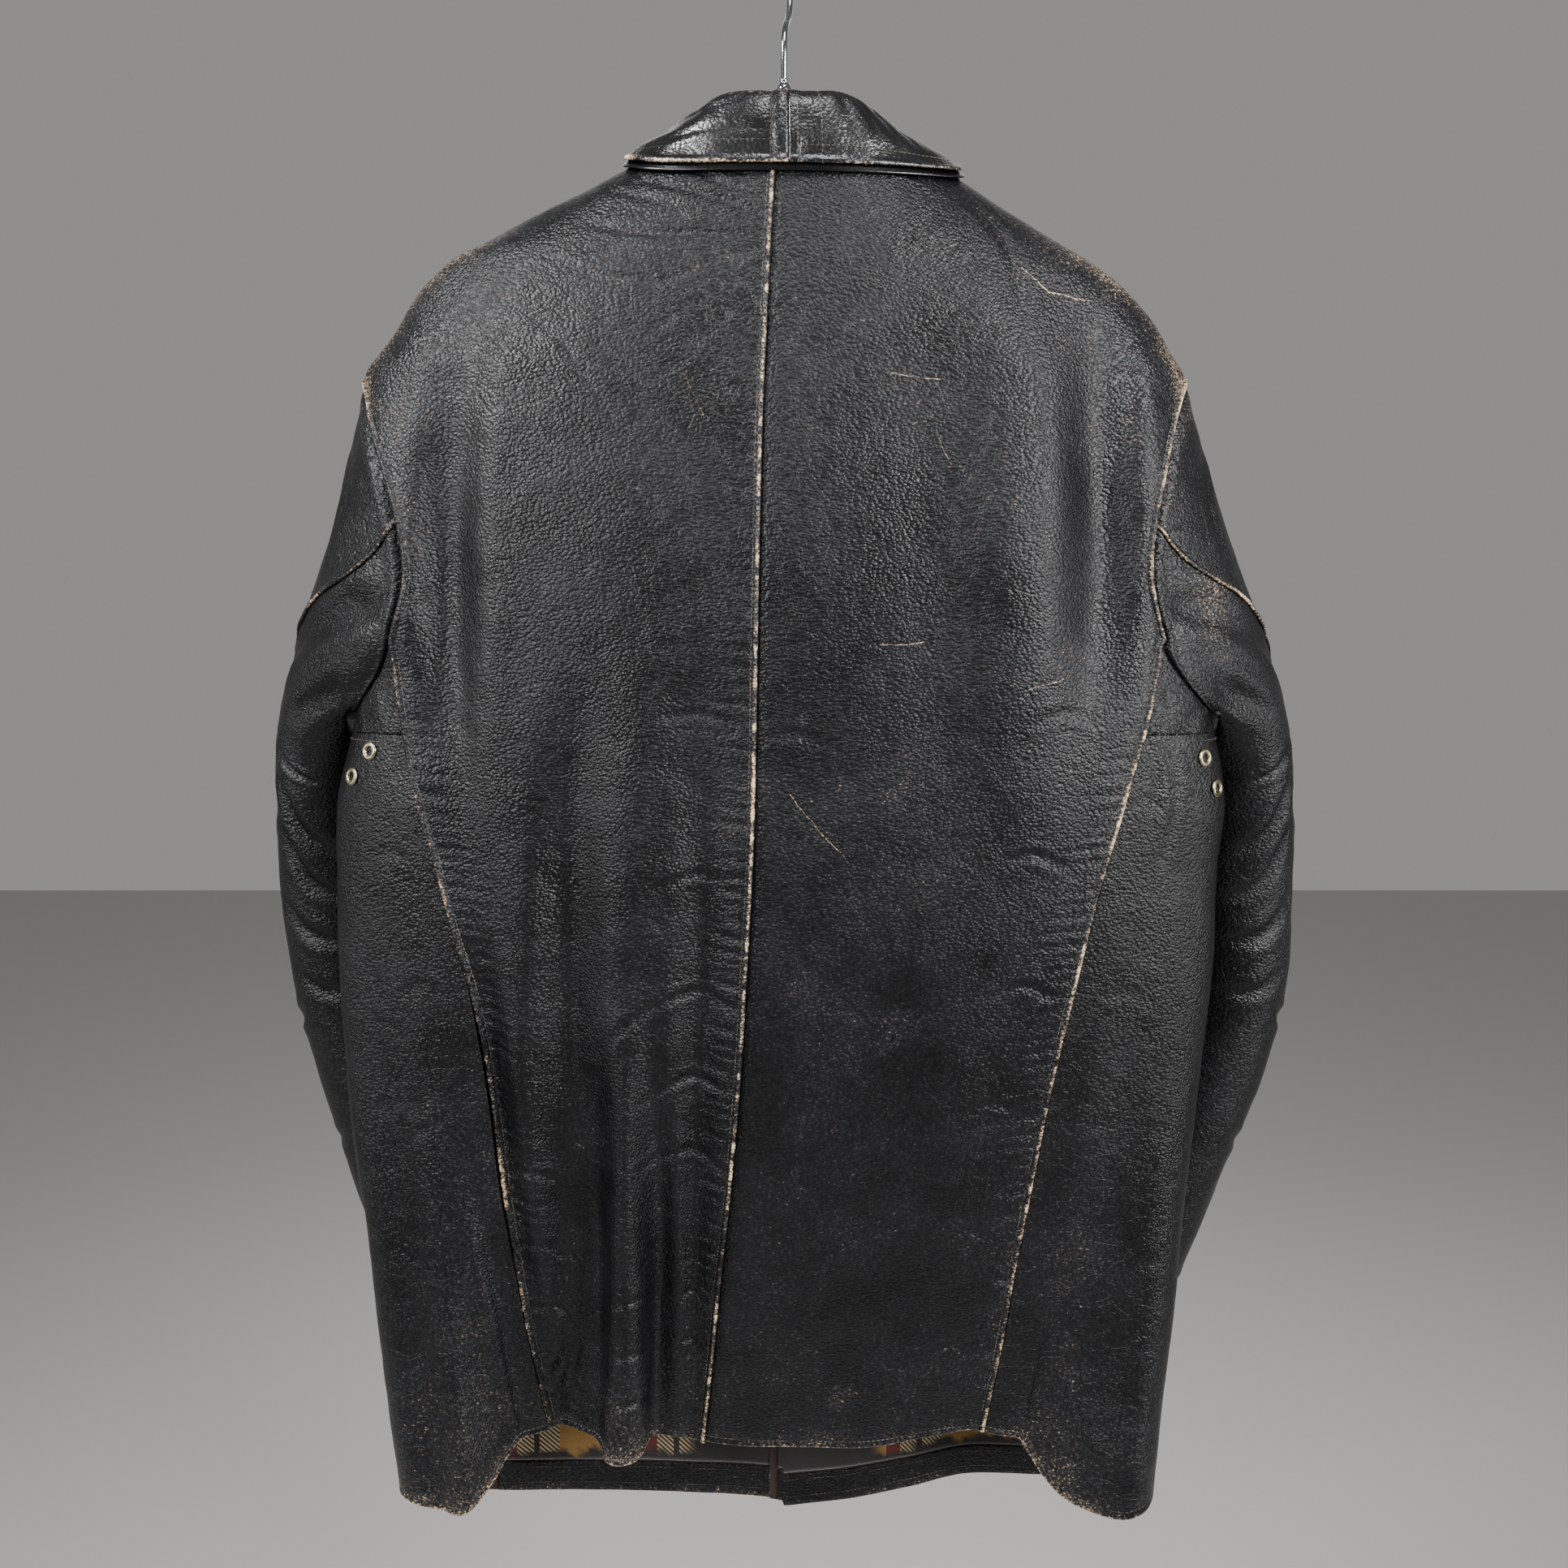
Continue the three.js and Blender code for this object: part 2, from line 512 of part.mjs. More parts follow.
// A point of the body by ring angle and true height, as the collar's edge lies on it.
function bodyPointAtHeight(angle, z) {
  const level = z > ARM_TOP_Z
    ? NECK_Z + (z - neckline(wrapped(angle))) * (ARM_TOP_Z - NECK_Z) / (ARM_TOP_Z - neckline(wrapped(angle)))
    : z;
  return { p: bodyPoint(angle, level), n: bodyNormal(angle, level) };
}

function collarSection(angle) {
  const side = angle < 0 ? -1 : 1;
  const a = Math.abs(angle);
  const foot = a > HALF ? frontSpot(side, angle, NECK_Z).p : bodyPoint(angle, NECK_Z);
  const out = new THREE.Vector3(foot.x, foot.y, 0).normalize();
  const up = new THREE.Vector3(0, 0, 1);
  const base = foot.clone().addScaledVector(up, STAND_LIFT).addScaledVector(out, -standInset(a));
  const high = standHeight(a);
  const lean = -standLean(a);
  const shoulder = base.clone().addScaledVector(up, high - ROLL).addScaledVector(out, lean);
  const edge = bodyPointAtHeight(side * edgeAngle(a), (side < 0 ? leftEdgeLevel : rightEdgeLevel)(a));
  const lap = side < 0 ? LAP_LIFT : SEAM_GAP;
  const clearance = COLLAR_CLEARANCE + lap * THREE.MathUtils.smoothstep(a, COLLAR_LAP_START, COLLAR_LAP_END);
  const rim = edge.p.clone().addScaledVector(edge.n, clearance);
  const crest = shoulder.clone().addScaledVector(up, ROLL).addScaledVector(out, ROLL);
  const after = shoulder.clone().addScaledVector(out, 2 * ROLL);
  const bow = after.clone().lerp(rim, 0.5).addScaledVector(out, COLLAR_BOW).addScaledVector(up, COLLAR_BOW);
  return [base, base.clone().lerp(shoulder, 0.5), shoulder, crest, after, bow, rim];
}

const COLLAR_STEPS = 9;
const FALL_STEP = 6;
function collarPoint(angle, v) {
  const section = new THREE.CatmullRomCurve3(collarSection(angle), false, 'centripetal');
  return section.getPoint(THREE.MathUtils.clamp(v, 0, 1));
}

const SECTION_STEP = 0.01;
function collarSpot(angle, v, lift = 0) {
  const dv = SECTION_STEP;
  const alongA = collarPoint(angle + ANGLE_STEP, v).sub(collarPoint(angle - ANGLE_STEP, v));
  const alongV = collarPoint(angle, v + dv).sub(collarPoint(angle, v - dv));
  const n = alongV.cross(alongA).normalize();
  return { p: collarPoint(angle, v).addScaledVector(n, lift), n };
}

const COLLAR_COLUMNS = 10;
const COLLAR_SEAM = 1;
function collarAngles(side) {
  return Array.from({ length: COLLAR_COLUMNS + 1 }, (_, i) =>
    THREE.MathUtils.lerp(COLLAR_SEAM, side * COLLAR_END, i / COLLAR_COLUMNS));
}

function collarLeaf(side) {
  const angles = collarAngles(side);
  if (side < 0) angles.reverse();
  return angles.map((angle) =>
    Array.from({ length: COLLAR_STEPS + 1 }, (_, j) => collarSpot(angle, j / COLLAR_STEPS)));
}

// The under collar lines the fall and peeps out below its edge.
const UNDER_COLLAR_PEEP = 3.5;
function underCollar() {
  const drop = -(LEATHER / 2 + SEAM_GAP + UNDER_COLLAR_LEATHER / 2);
  const angles = [...collarAngles(-1).reverse(), ...collarAngles(1).slice(1)];
  return angles.map((angle) => {
    const row = [];
    for (let j = FALL_STEP; j <= COLLAR_STEPS; j += 1) row.push(collarSpot(angle, j / COLLAR_STEPS, drop));
    const last = row[row.length - 1];
    const way = last.p.clone().sub(row[row.length - 2].p).setLength(UNDER_COLLAR_PEEP);
    row.push({ p: last.p.clone().add(way), n: last.n });
    return row;
  });
}

// A closed solid through a list of sections, each a ring of the same number of points.
function loftGeometry(sections) {
  const ring = sections[0].length;
  const positions = [];
  for (const section of sections) for (const p of section) positions.push(p.x, p.y, p.z);
  const index = [];
  for (let i = 0; i < sections.length - 1; i += 1) {
    for (let j = 0; j < ring; j += 1) {
      const k = (j + 1) % ring;
      const a = i * ring + j;
      const b = i * ring + k;
      index.push(a, b, b + ring, a, b + ring, a + ring);
    }
  }
  for (const [end, flip] of [[0, false], [sections.length - 1, true]]) {
    const centre = positions.length / 3;
    const middle = sections[end].reduce((sum, p) => sum.add(p), new THREE.Vector3()).divideScalar(ring);
    positions.push(middle.x, middle.y, middle.z);
    for (let j = 0; j < ring; j += 1) {
      const a = end * ring + j;
      const b = end * ring + (j + 1) % ring;
      index.push(...(flip ? [centre, a, b] : [centre, b, a]));
    }
  }
  return closedGeometry(positions, index);
}

// A round rod along a path that lies in one upright plane.
function rodGeometry(path, radius, sides, across) {
  const sections = path.map((p, i) => {
    const before = path[Math.max(i - 1, 0)];
    const after = path[Math.min(i + 1, path.length - 1)];
    const along = after.clone().sub(before).normalize();
    const up = across.clone().cross(along).normalize();
    return Array.from({ length: sides }, (_, j) => {
      const t = 2 * Math.PI * j / sides;
      const spoke = across.clone().multiplyScalar(Math.cos(t)).addScaledVector(up, Math.sin(t));
      return p.clone().addScaledVector(spoke, radius);
    });
  });
  return loftGeometry(sections);
}

function toManifold(geometry) {
  const plain = new THREE.BufferGeometry();
  plain.setAttribute('position', geometry.getAttribute('position').clone());
  if (geometry.index) plain.setIndex(geometry.index.clone());
  const merged = mergeVertices(plain);
  const vertProperties = Float32Array.from(merged.getAttribute('position').array);
  const triVerts = Uint32Array.from(merged.index.array);
  return new wasm.Manifold(new wasm.Mesh({ numProp: 3, vertProperties, triVerts }));
}

function cutGeometry(geometry, cutters) {
  let solid = toManifold(geometry);
  for (const cutter of cutters) solid = solid.subtract(toManifold(cutter));
  const mesh = solid.getMesh();
  const cut = new THREE.BufferGeometry();
  cut.setAttribute('position', new THREE.Float32BufferAttribute(mesh.vertProperties, 3));
  cut.setIndex(Array.from(mesh.triVerts));
  cut.computeVertexNormals();
  return cut;
}

// Eyelets: two below each gusset, each a rolled flange on a barrel through the leather.
const EYELETS = {
  left: [{ x: 254, z: -487.5 }, { x: 267, z: -504 }],
  right: [{ x: 259, z: -492 }, { x: 268.5, z: -511.5 }],
};
const EYELET_HOLE = 3.3;
const EYELET_SIDES = 16;
const CUTTER_LENGTH = 12;
const EYELET_PROFILE = [[2.4, -1.6], [2.9, -1.6], [2.9, 1.6], [5.7, 1.6], [5.3, 2.3], [4.1, 2.6], [2.7, 2.1],
  [2.4, -1.6]].map(([r, h]) => new THREE.Vector2(r, h));

function standOn(mesh, spot) {
  mesh.position.copy(spot.p);
  mesh.quaternion.setFromUnitVectors(new THREE.Vector3(0, 1, 0), spot.n);
}

function eyeletSpots(hand) {
  const side = hand === 'left' ? -1 : 1;
  return EYELETS[hand].map(({ x, z }) => spotOnBody(angleAt(x, z, side, true), z));
}

function eyeletCutter(spot) {
  const barrel = new THREE.CylinderGeometry(EYELET_HOLE, EYELET_HOLE, CUTTER_LENGTH, EYELET_SIDES);
  const cutter = new THREE.Mesh(barrel);
  standOn(cutter, spot);
  cutter.updateMatrix();
  return cutter.geometry.applyMatrix4(cutter.matrix);
}

// Plain buttons on the hidden front, down the middle of the lap.
const BUTTON_LEVELS = [-270, -390, -510, -630, -750];
const BUTTON_X = 3;
const BUTTON_SIDES = 16;
const BUTTON_SHANK = 0.5;
const BUTTON_LIFT = LEATHER / 2 + BUTTON_SHANK;
const BUTTON_PROFILE = [[0, 0], [3, 0], [3, 1], [10, 1.2], [10.4, 2.6], [9.6, 3.8], [8, 3.6], [7, 3], [0, 3]]
  .map(([r, h]) => new THREE.Vector2(r, h));

// Hanger: a wooden body under the shoulders, with a ferrule and a hook of round wire.
const WIRE_RADIUS = 2;
const HOOK_RADIUS = 22;
const HOOK_TURN = 9 * DEGREE;
const HOOK_END = 220;
const HOOK_START = -60;
const HOOK_STEP = 14;
const HOOK_SIDES = 10;
const HOOK_SHANK = [[0, -130], [0, -100], [0, -64], [1.2, -56], [5, -48.5]];
const WIRE_CLEARANCE = 0.3;
const BORE_DEPTH = 30;
const BORE_SIDES = 12;
const HANGER_NECK = curveThrough([[0, -116], [30, -118], [50, -121.5], [62, -125], [74, -128.5], [80, -131]]);
const HANGER_NECK_END = 80;
const HANGER_HALF_THICKNESS = curveThrough([[0, 7], [80, 7], [190, 9], [200, 7]]);
const HANGER_HEIGHT = curveThrough([[0, 30], [80, 27], [180, 22], [200, 14]]);
const HANGER_STATIONS = [0, 15, 30, 45, 60, 74, 90, 110, 130, 150, 168, 182, 191, 196];
const HANGER_SIDES = 12;
const HANGER_SQUARENESS = 0.7;
const HANGER_CLEARANCE = 0.2;

// Height of the shoulder ridge at a distance from the middle, along the panels' own straight stretches.
function ridgeHeight(side, x) {
  const reach = side < 0 ? leftReach : rightReach;
  let row = 1;
  while (reach(ROWS[row]) < x) row += 1;
  const inner = reach(ROWS[row - 1]);
  const outer = reach(ROWS[row]);
  return THREE.MathUtils.lerp(ROWS[row - 1], ROWS[row], (x - inner) / (outer - inner));
}

function hangerSection(side, x) {
  const under = LEATHER / 2 + 2 * SEAM_GAP + HANGER_CLEARANCE;
  const top = x < HANGER_NECK_END ? HANGER_NECK(x) : ridgeHeight(side, x) - under;
  const half = HANGER_HALF_THICKNESS(x);
  const height = HANGER_HEIGHT(x);
  return Array.from({ length: HANGER_SIDES }, (_, j) => {
    const t = 2 * Math.PI * j / HANGER_SIDES;
    const y = half * Math.sign(Math.sin(t)) * Math.abs(Math.sin(t)) ** HANGER_SQUARENESS;
    const z = height / 2 * Math.sign(Math.cos(t)) * Math.abs(Math.cos(t)) ** HANGER_SQUARENESS;
    return new THREE.Vector3(side * x, y, top - height / 2 + z);
  });
}

function hangerBody() {
  const left = HANGER_STATIONS.slice(1).reverse().map((x) => hangerSection(-1, x));
  const right = HANGER_STATIONS.map((x) => hangerSection(1, x));
  const radius = WIRE_RADIUS + WIRE_CLEARANCE;
  const bore = new THREE.CylinderGeometry(radius, radius, BORE_DEPTH, BORE_SIDES);
  bore.rotateX(Math.PI / 2);
  bore.translate(0, 0, HOOK_SHANK[0][1] + BORE_DEPTH / 2 - WIRE_CLEARANCE);
  return cutGeometry(loftGeometry([...left, ...right]), [bore]);
}

function hookPath() {
  const plane = (y, z) => new THREE.Vector3(y * Math.sin(HOOK_TURN), y * Math.cos(HOOK_TURN), z);
  const centre = -HOOK_RADIUS;
  const bend = HOOK_RADIUS + WIRE_RADIUS;
  const path = HOOK_SHANK.map(([y, z]) => plane(y, z));
  for (let turn = HOOK_START; turn <= HOOK_END; turn += HOOK_STEP) {
    path.push(plane(bend * Math.cos(turn * DEGREE), centre + bend * Math.sin(turn * DEGREE)));
  }
  return path;
}

const FERRULE_SIDES = 16;
const FERRULE_PROFILE = [[2.3, -115.2], [7.5, -115.2], [7.5, -112], [5.2, -108], [4.6, -92], [4.6, -86.5],
  [4, -84.2], [2.6, -83], [2.6, -82.4], [2.9, -81.4], [2.6, -80.2], [2.3, -80.2], [2.3, -115.2]]
  .map(([r, h]) => new THREE.Vector2(r, h));

// Materials
const leather = new THREE.MeshStandardMaterial({ color: 0x15161a, roughness: 0.5, metalness: 0 });
const wornLeather = new THREE.MeshStandardMaterial({ color: 0x1c1b1c, roughness: 0.5, metalness: 0 });
const lining = new THREE.MeshStandardMaterial({ color: 0x8a6a3a, roughness: 0.95, metalness: 0 });
const chrome = new THREE.MeshStandardMaterial({ color: 0xc9c9c9, roughness: 0.25, metalness: 1 });
const nickel = new THREE.MeshStandardMaterial({ color: 0xbdb8a8, roughness: 0.35, metalness: 1 });
const wood = new THREE.MeshStandardMaterial({ color: 0x8a6039, roughness: 0.55, metalness: 0 });
const horn = new THREE.MeshStandardMaterial({ color: 0x17130f, roughness: 0.4, metalness: 0 });

const group = new THREE.Group();

function addMesh(name, geometry, material) {
  const mesh = new THREE.Mesh(geometry, material);
  mesh.name = name;
  group.add(mesh);
  return mesh;
}

for (const side of [-1, 1]) {
  const hand = side < 0 ? 'left' : 'right';
  addMesh(`back_${hand}`, wallGeometry(backPanel(side), LEATHER), leather);
  addMesh(`front_${hand}`, wallGeometry(frontPanel(side), LEATHER), leather);
  const eyelets = eyeletSpots(hand);
  const panel = wallGeometry(sidePanel(side), LEATHER);
  addMesh(`side_${hand}`, cutGeometry(panel, eyelets.map(eyeletCutter)), leather);
  eyelets.forEach((spot, i) => {
    const name = `eyelet_${hand}_${i + 1}`;
    standOn(addMesh(name, new THREE.LatheGeometry(EYELET_PROFILE, EYELET_SIDES), nickel), spot);
  });
  addMesh(`gusset_${hand}`, wallGeometry(gussetPanel(side), LEATHER), leather);
  addMesh(`sleeve_upper_${hand}`, wallGeometry(sleevePiece(side, true), LEATHER), leather);
  addMesh(`sleeve_under_${hand}`, wallGeometry(sleevePiece(side, false), LEATHER), leather);
  addMesh(`collar_${hand}`, wallGeometry(collarLeaf(side), LEATHER), wornLeather);
  addMesh(`facing_${hand}`, wallGeometry(insideFront(side, FACING_LEVELS, FACING), FACING), wornLeather);
  addMesh(`lining_${hand}`, wallGeometry(insideFront(side, LINING_LEVELS, LINING), LINING), lining);
}
addMesh('under_collar', wallGeometry(underCollar(), UNDER_COLLAR_LEATHER), wornLeather);

BUTTON_LEVELS.forEach((level, i) => {
  const angle = pastCentreAngle(-1, BUTTON_X, level);
  const button = addMesh(`button_${i + 1}`, new THREE.LatheGeometry(BUTTON_PROFILE, BUTTON_SIDES), horn);
  standOn(button, spotOnBody(angle, level, LAP_LIFT + BUTTON_LIFT));
});

addMesh('hanger_body', hangerBody(), wood);
const hookAcross = new THREE.Vector3(Math.cos(HOOK_TURN), -Math.sin(HOOK_TURN), 0);
addMesh('hanger_hook', rodGeometry(hookPath(), WIRE_RADIUS, HOOK_SIDES, hookAcross), chrome);
const ferrule = new THREE.LatheGeometry(FERRULE_PROFILE, FERRULE_SIDES);
ferrule.rotateX(Math.PI / 2);
addMesh('hanger_ferrule', ferrule, chrome);

export default group;
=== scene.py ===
import bmesh
import bpy
import numpy as np
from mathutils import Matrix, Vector, noise


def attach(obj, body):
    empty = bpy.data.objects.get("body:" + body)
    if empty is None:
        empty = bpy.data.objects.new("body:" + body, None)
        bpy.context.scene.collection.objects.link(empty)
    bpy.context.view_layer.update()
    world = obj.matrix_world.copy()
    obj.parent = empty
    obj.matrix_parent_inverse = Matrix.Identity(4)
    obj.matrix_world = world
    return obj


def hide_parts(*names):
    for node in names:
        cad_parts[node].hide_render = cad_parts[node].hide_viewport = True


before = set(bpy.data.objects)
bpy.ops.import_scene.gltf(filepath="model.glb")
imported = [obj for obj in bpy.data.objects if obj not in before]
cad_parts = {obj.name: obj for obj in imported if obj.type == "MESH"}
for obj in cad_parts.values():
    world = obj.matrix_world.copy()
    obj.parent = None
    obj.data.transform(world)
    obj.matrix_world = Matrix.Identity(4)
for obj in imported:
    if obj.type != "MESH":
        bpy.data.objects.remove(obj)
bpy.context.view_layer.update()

# The back
# Two panels of black cowhide, cut whole from shoulder to hem and joined down the middle. The left one
# is turned under and topstitched over the right, and years of hanging have drawn it into folds.
# The panels are part of one tube of level rings, in millimetres, with the angle counted from the
# centre back towards the wearer's right.
MM = 0.001
LEATHER = 2.0
SEAM_GAP = 0.3
NECK_Z = -125
ARM_TOP_Z = -259
ARM_SIDE_Z = -420
GUSSET_FOOT_Z = -477
HEM_Z = -945
HEM_BLEND_Z = -640
FRONT_SQUARENESS = 2.0


def curve_through(*pairs):
    """Smooth curve through (key, value) pairs, as a function of an array of keys."""
    keys, values = np.array(sorted(pairs), float).T
    slopes = np.gradient(values)
    slopes[1:-1] = (values[2:] - values[:-2]) / (keys[2:] - keys[:-2])
    slopes[0] = (values[1] - values[0]) / (keys[1] - keys[0])
    slopes[-1] = (values[-1] - values[-2]) / (keys[-1] - keys[-2])

    def at(key):
        key = np.clip(key, keys[0], keys[-1])
        i = np.clip(np.searchsorted(keys, key, side="right") - 1, 0, len(keys) - 2)
        span = keys[i + 1] - keys[i]
        t = (key - keys[i]) / span
        return ((2 * t ** 3 - 3 * t ** 2 + 1) * values[i] + (t ** 3 - 2 * t ** 2 + t) * span * slopes[i]
                + (3 * t ** 2 - 2 * t ** 3) * values[i + 1] + (t ** 3 - t ** 2) * span * slopes[i + 1])
    return at


def smoothstep(x, low, high):
    t = np.clip((x - low) / (high - low), 0, 1)
    return t * t * (3 - 2 * t)


left_reach = curve_through(
    (-125, 74), (-131, 86), (-139, 101), (-148, 119), (-162, 149), (-177, 177), (-191, 204), (-208, 223),
    (-232, 239), (-246, 250), (-259, 258), (-300, 260), (-400, 261), (-470, 270), (-523, 283),
    (-640, 284), (-701, 281), (-760, 275), (-800, 269), (-860, 264), (-920, 259), (-1000, 252))
right_reach = curve_through(
    (-125, 74), (-131, 88), (-141, 105), (-148, 117), (-162, 139), (-177, 163), (-193, 190), (-207, 209),
    (-225, 226), (-244, 238), (-259, 247), (-300, 250), (-400, 254), (-470, 270), (-523, 279),
    (-560, 276), (-631, 274), (-670, 271), (-749, 264), (-800, 259), (-852, 255), (-920, 248),
    (-1000, 242))
side_y = curve_through((-125, 0), (-260, 0), (-420, -4), (-600, -8), (-800, -6), (-1000, 0))
back_y = curve_through(
    (-125, -47), (-131, -50), (-147, -55), (-200, -64), (-260, -69), (-350, -73), (-450, -73),
    (-600, -67), (-750, -54), (-850, -44), (-945, -35), (-1000, -32))
front_y = curve_through(
    (-125, 42), (-213, 54), (-300, 68), (-450, 76), (-600, 74), (-800, 64), (-950, 54), (-1050, 50))
back_squareness = curve_through((-125, 2.1), (-200, 2.3), (-300, 2.6), (-600, 2.7), (-950, 3.0))

# Large folds: angle of the crest at two heights, half-widths in degrees, and height off the ring.
FOLDS = [
    (((-700, -50), (-950, -45)), 4.5, 9, ((-640, 0), (-760, 5), (-850, 14), (-950, 22))),
    (((-600, -72), (-950, -64)), 12, 16, ((-560, 0), (-700, 5), (-820, 13), (-950, 20))),
    (((-700, -40), (-950, -34)), 6, 5, ((-640, 0), (-800, -6), (-950, -12))),
    (((-600, 66), (-950, 59)), 14, 18, ((-560, 0), (-700, 5), (-820, 13), (-950, 28))),
    (((-740, -12), (-950, -16)), 5, 5, ((-740, 0), (-830, 6), (-900, 16), (-950, 26))),
    (((-740, -20), (-950, -26)), 5, 5, ((-740, 0), (-850, -3), (-950, -7))),
    (((-740, -4), (-950, -7)), 4, 4, ((-740, 0), (-850, -2), (-950, -6))),
    (((-240, 48), (-430, 44)), 9, 9, ((-200, 0), (-270, -5), (-360, -6), (-470, 0))),
    (((-240, 29), (-430, 27)), 9, 9, ((-200, 0), (-270, 5), (-360, 5), (-520, 0))),
    (((-240, -50), (-470, -46)), 8, 8, ((-220, 0), (-300, -5), (-400, -7), (-520, 0))),
    (((-260, -66), (-420, -62)), 8, 8, ((-250, 0), (-300, 6), (-400, 9), (-440, 0))),
    (((-700, 36), (-950, 31)), 7, 6, ((-650, 0), (-800, -6), (-950, -12))),
]
FOLDS = [(curve_through(*at), inner, outer, curve_through(*height)) for at, inner, outer, height in FOLDS]

NECK_HALF = [(0, -137), (20, -134), (36, -130), (60, -127), (90, -125), (121, -130), (143, -145),
             (158, -170), (167, -192), (173, -206), (180, -213)]
neckline = curve_through(*NECK_HALF, *[(-angle, z) for angle, z in NECK_HALF[1:]])
hemline = curve_through(
    (-180, -1039), (-163, -1031), (-148, -1026), (-126, -1018), (-108, -1006), (-90, -992), (-78, -985),
    (-66, -984), (-58, -987), (-53, -988), (-48, -987), (-43, -979), (-40, -969), (-38.5, -957),
    (-37, -948), (-31, -944), (-25, -938), (-21, -938), (-16, -943), (-11, -939), (-6, -945), (0, -947),
    (6, -947), (14, -939), (21, -936), (25, -940), (29, -942), (31, -947), (33, -957), (36, -971),
    (40, -982), (45, -988), (53, -990), (62, -988), (75, -985), (90, -992), (110, -1001), (132, -1009),
    (148, -1014), (158, -1026), (169, -1037), (180, -1043))


def fold_height(phi, z):
    total = np.zeros_like(z)
    for at, inner, outer, height in FOLDS:
        crest = at(z)
        beyond = np.abs(phi) - np.abs(crest)
        off = beyond / np.where(beyond < 0, inner, outer)
        total += np.where(phi * crest < 0, 0, height(z) * np.exp(-off * off))
    return total


def ring_point(angle, level):
    """Points of the body's middle surface, by ring angle and nominal height."""
    angle, level = np.broadcast_arrays(np.asarray(angle, float), np.asarray(level, float))
    phi = np.where(angle > 180, angle - 360, np.where(angle < -180, angle + 360, angle))
    neck = np.clip((level - ARM_TOP_Z) / (NECK_Z - ARM_TOP_Z), 0, None)
    down = np.clip((HEM_BLEND_Z - level) / (HEM_BLEND_Z - HEM_Z), 0, 1)
    z = level + (neckline(phi) - NECK_Z) * neck + (hemline(phi) - HEM_Z) * down ** 2
    a = np.radians(np.abs(phi))
    on_back = a <= np.pi / 2
    reach = np.where(phi < 0, left_reach(z), right_reach(z))
    squareness = np.where(on_back, back_squareness(z), FRONT_SQUARENESS)
    depth = np.where(on_back, side_y(z) - back_y(z), front_y(z) - side_y(z))
    sx = np.sin(a) ** (2 / squareness)
    sy = np.abs(np.cos(a)) ** (2 / squareness)
    nx = sx ** (squareness - 1) / reach
    ny = sy ** (squareness - 1) / depth
    lift = fold_height(phi, z) / np.hypot(nx, ny)
    x = (reach * sx + nx * lift) * np.where(phi < 0, -1, 1)
    y = side_y(z) + (depth * sy + ny * lift) * np.where(on_back, -1, 1)
    return np.stack([x, y, z], -1)


def unit(v):
    return v / np.linalg.norm(v, axis=-1, keepdims=True)


def normal_of(surface, a, b, da=0.6, db=0.8):
    return unit(np.cross(surface(a + da, b) - surface(a - da, b), surface(a, b + db) - surface(a, b - db)))


def angle_at(distance, z, side, on_back):
    """Ring angle where the ring stands at a distance from the middle."""
    reach = left_reach(z) if side < 0 else right_reach(z)
    squareness = back_squareness(z) if on_back else FRONT_SQUARENESS
    a = np.degrees(np.arcsin(np.minimum(distance / reach, 1) ** (squareness / 2)))
    return side * (a if on_back else 180 - a)


# Seams, as distances from the middle by height; the armhole's as a share of the ring's reach.
back_armhole = curve_through((-259, 1), (-285, 0.955), (-315, 0.915), (-350, 0.885), (-385, 0.875),
                             (-420, 0.897))
front_armhole = curve_through((-259, 1), (-285, 0.93), (-315, 0.875), (-350, 0.85), (-385, 0.86),
                              (-420, 0.9))
side_back_left = curve_through(
    (-420, 236), (-451, 234), (-500, 227), (-551, 214), (-598, 203), (-640, 194), (-702, 186),
    (-774, 180), (-837, 172), (-888, 165), (-945, 156))
side_back_right = curve_through(
    (-420, 229), (-461, 222), (-514, 208), (-575, 192), (-626, 181), (-694, 168), (-761, 158),
    (-820, 149), (-869, 143), (-945, 131))
side_front = curve_through((-420, 232), (-476, 226), (-600, 220), (-800, 212), (-945, 205))
centre_back = curve_through(
    (-137, 4), (-207, 8), (-295, 12), (-424, 15), (-521, 17), (-570, 19), (-620, 22), (-671, 25),
    (-722, 29), (-775, 34), (-828, 40), (-881, 45), (-947, 52))


def side_back_angle(side, level):
    return angle_at((side_back_left if side < 0 else side_back_right)(level), level, side, True)


def side_front_angle(side, level):
    return angle_at(side_front(level), level, side, False)


def panel_edge_angle(side, level, on_back):
    """Outer edge of a back or front panel: the shoulder, then the armhole, then the side seam."""
    reach = left_reach(level) if side < 0 else right_reach(level)
    share = (back_armhole if on_back else front_armhole)(level)
    armhole = angle_at(share * reach, level, side, on_back)
    seam = side_back_angle(side, level) if on_back else side_front_angle(side, level)
    return np.where(level >= ARM_TOP_Z, side * 90.0, np.where(level >= ARM_SIDE_Z, armhole, seam))


# The neckline lies this much lower at the centre back than its nominal height.
NECK_DIP = 6


def centre_back_angle(level):
    z = np.where(level > ARM_TOP_Z, level - NECK_DIP, level)
    return angle_at(centre_back(z), z, -1, True)


# Distances from an edge, in millimetres, at which a panel has a line of points. The seam's roll and its
# stitches lie on the first ones.
EDGE_LINES = np.array([0, 0.6, 1.4, 2.4, 3.4, 4.4, 5.4, 7.0, 9.5, 13.0])
STITCH_LINE = 5
# Where its stitches have drawn a groove in the hem, from the edge.
HEM_GROOVE = 5.4
# Millimetres along the leather at the hem for each one of nominal height.
HEM_STRETCH = {"back": 1.3, "side": 1.5, "front": 1.6}
# How far the thread stands proud of the leather.
THREAD_PROUD = 0.12


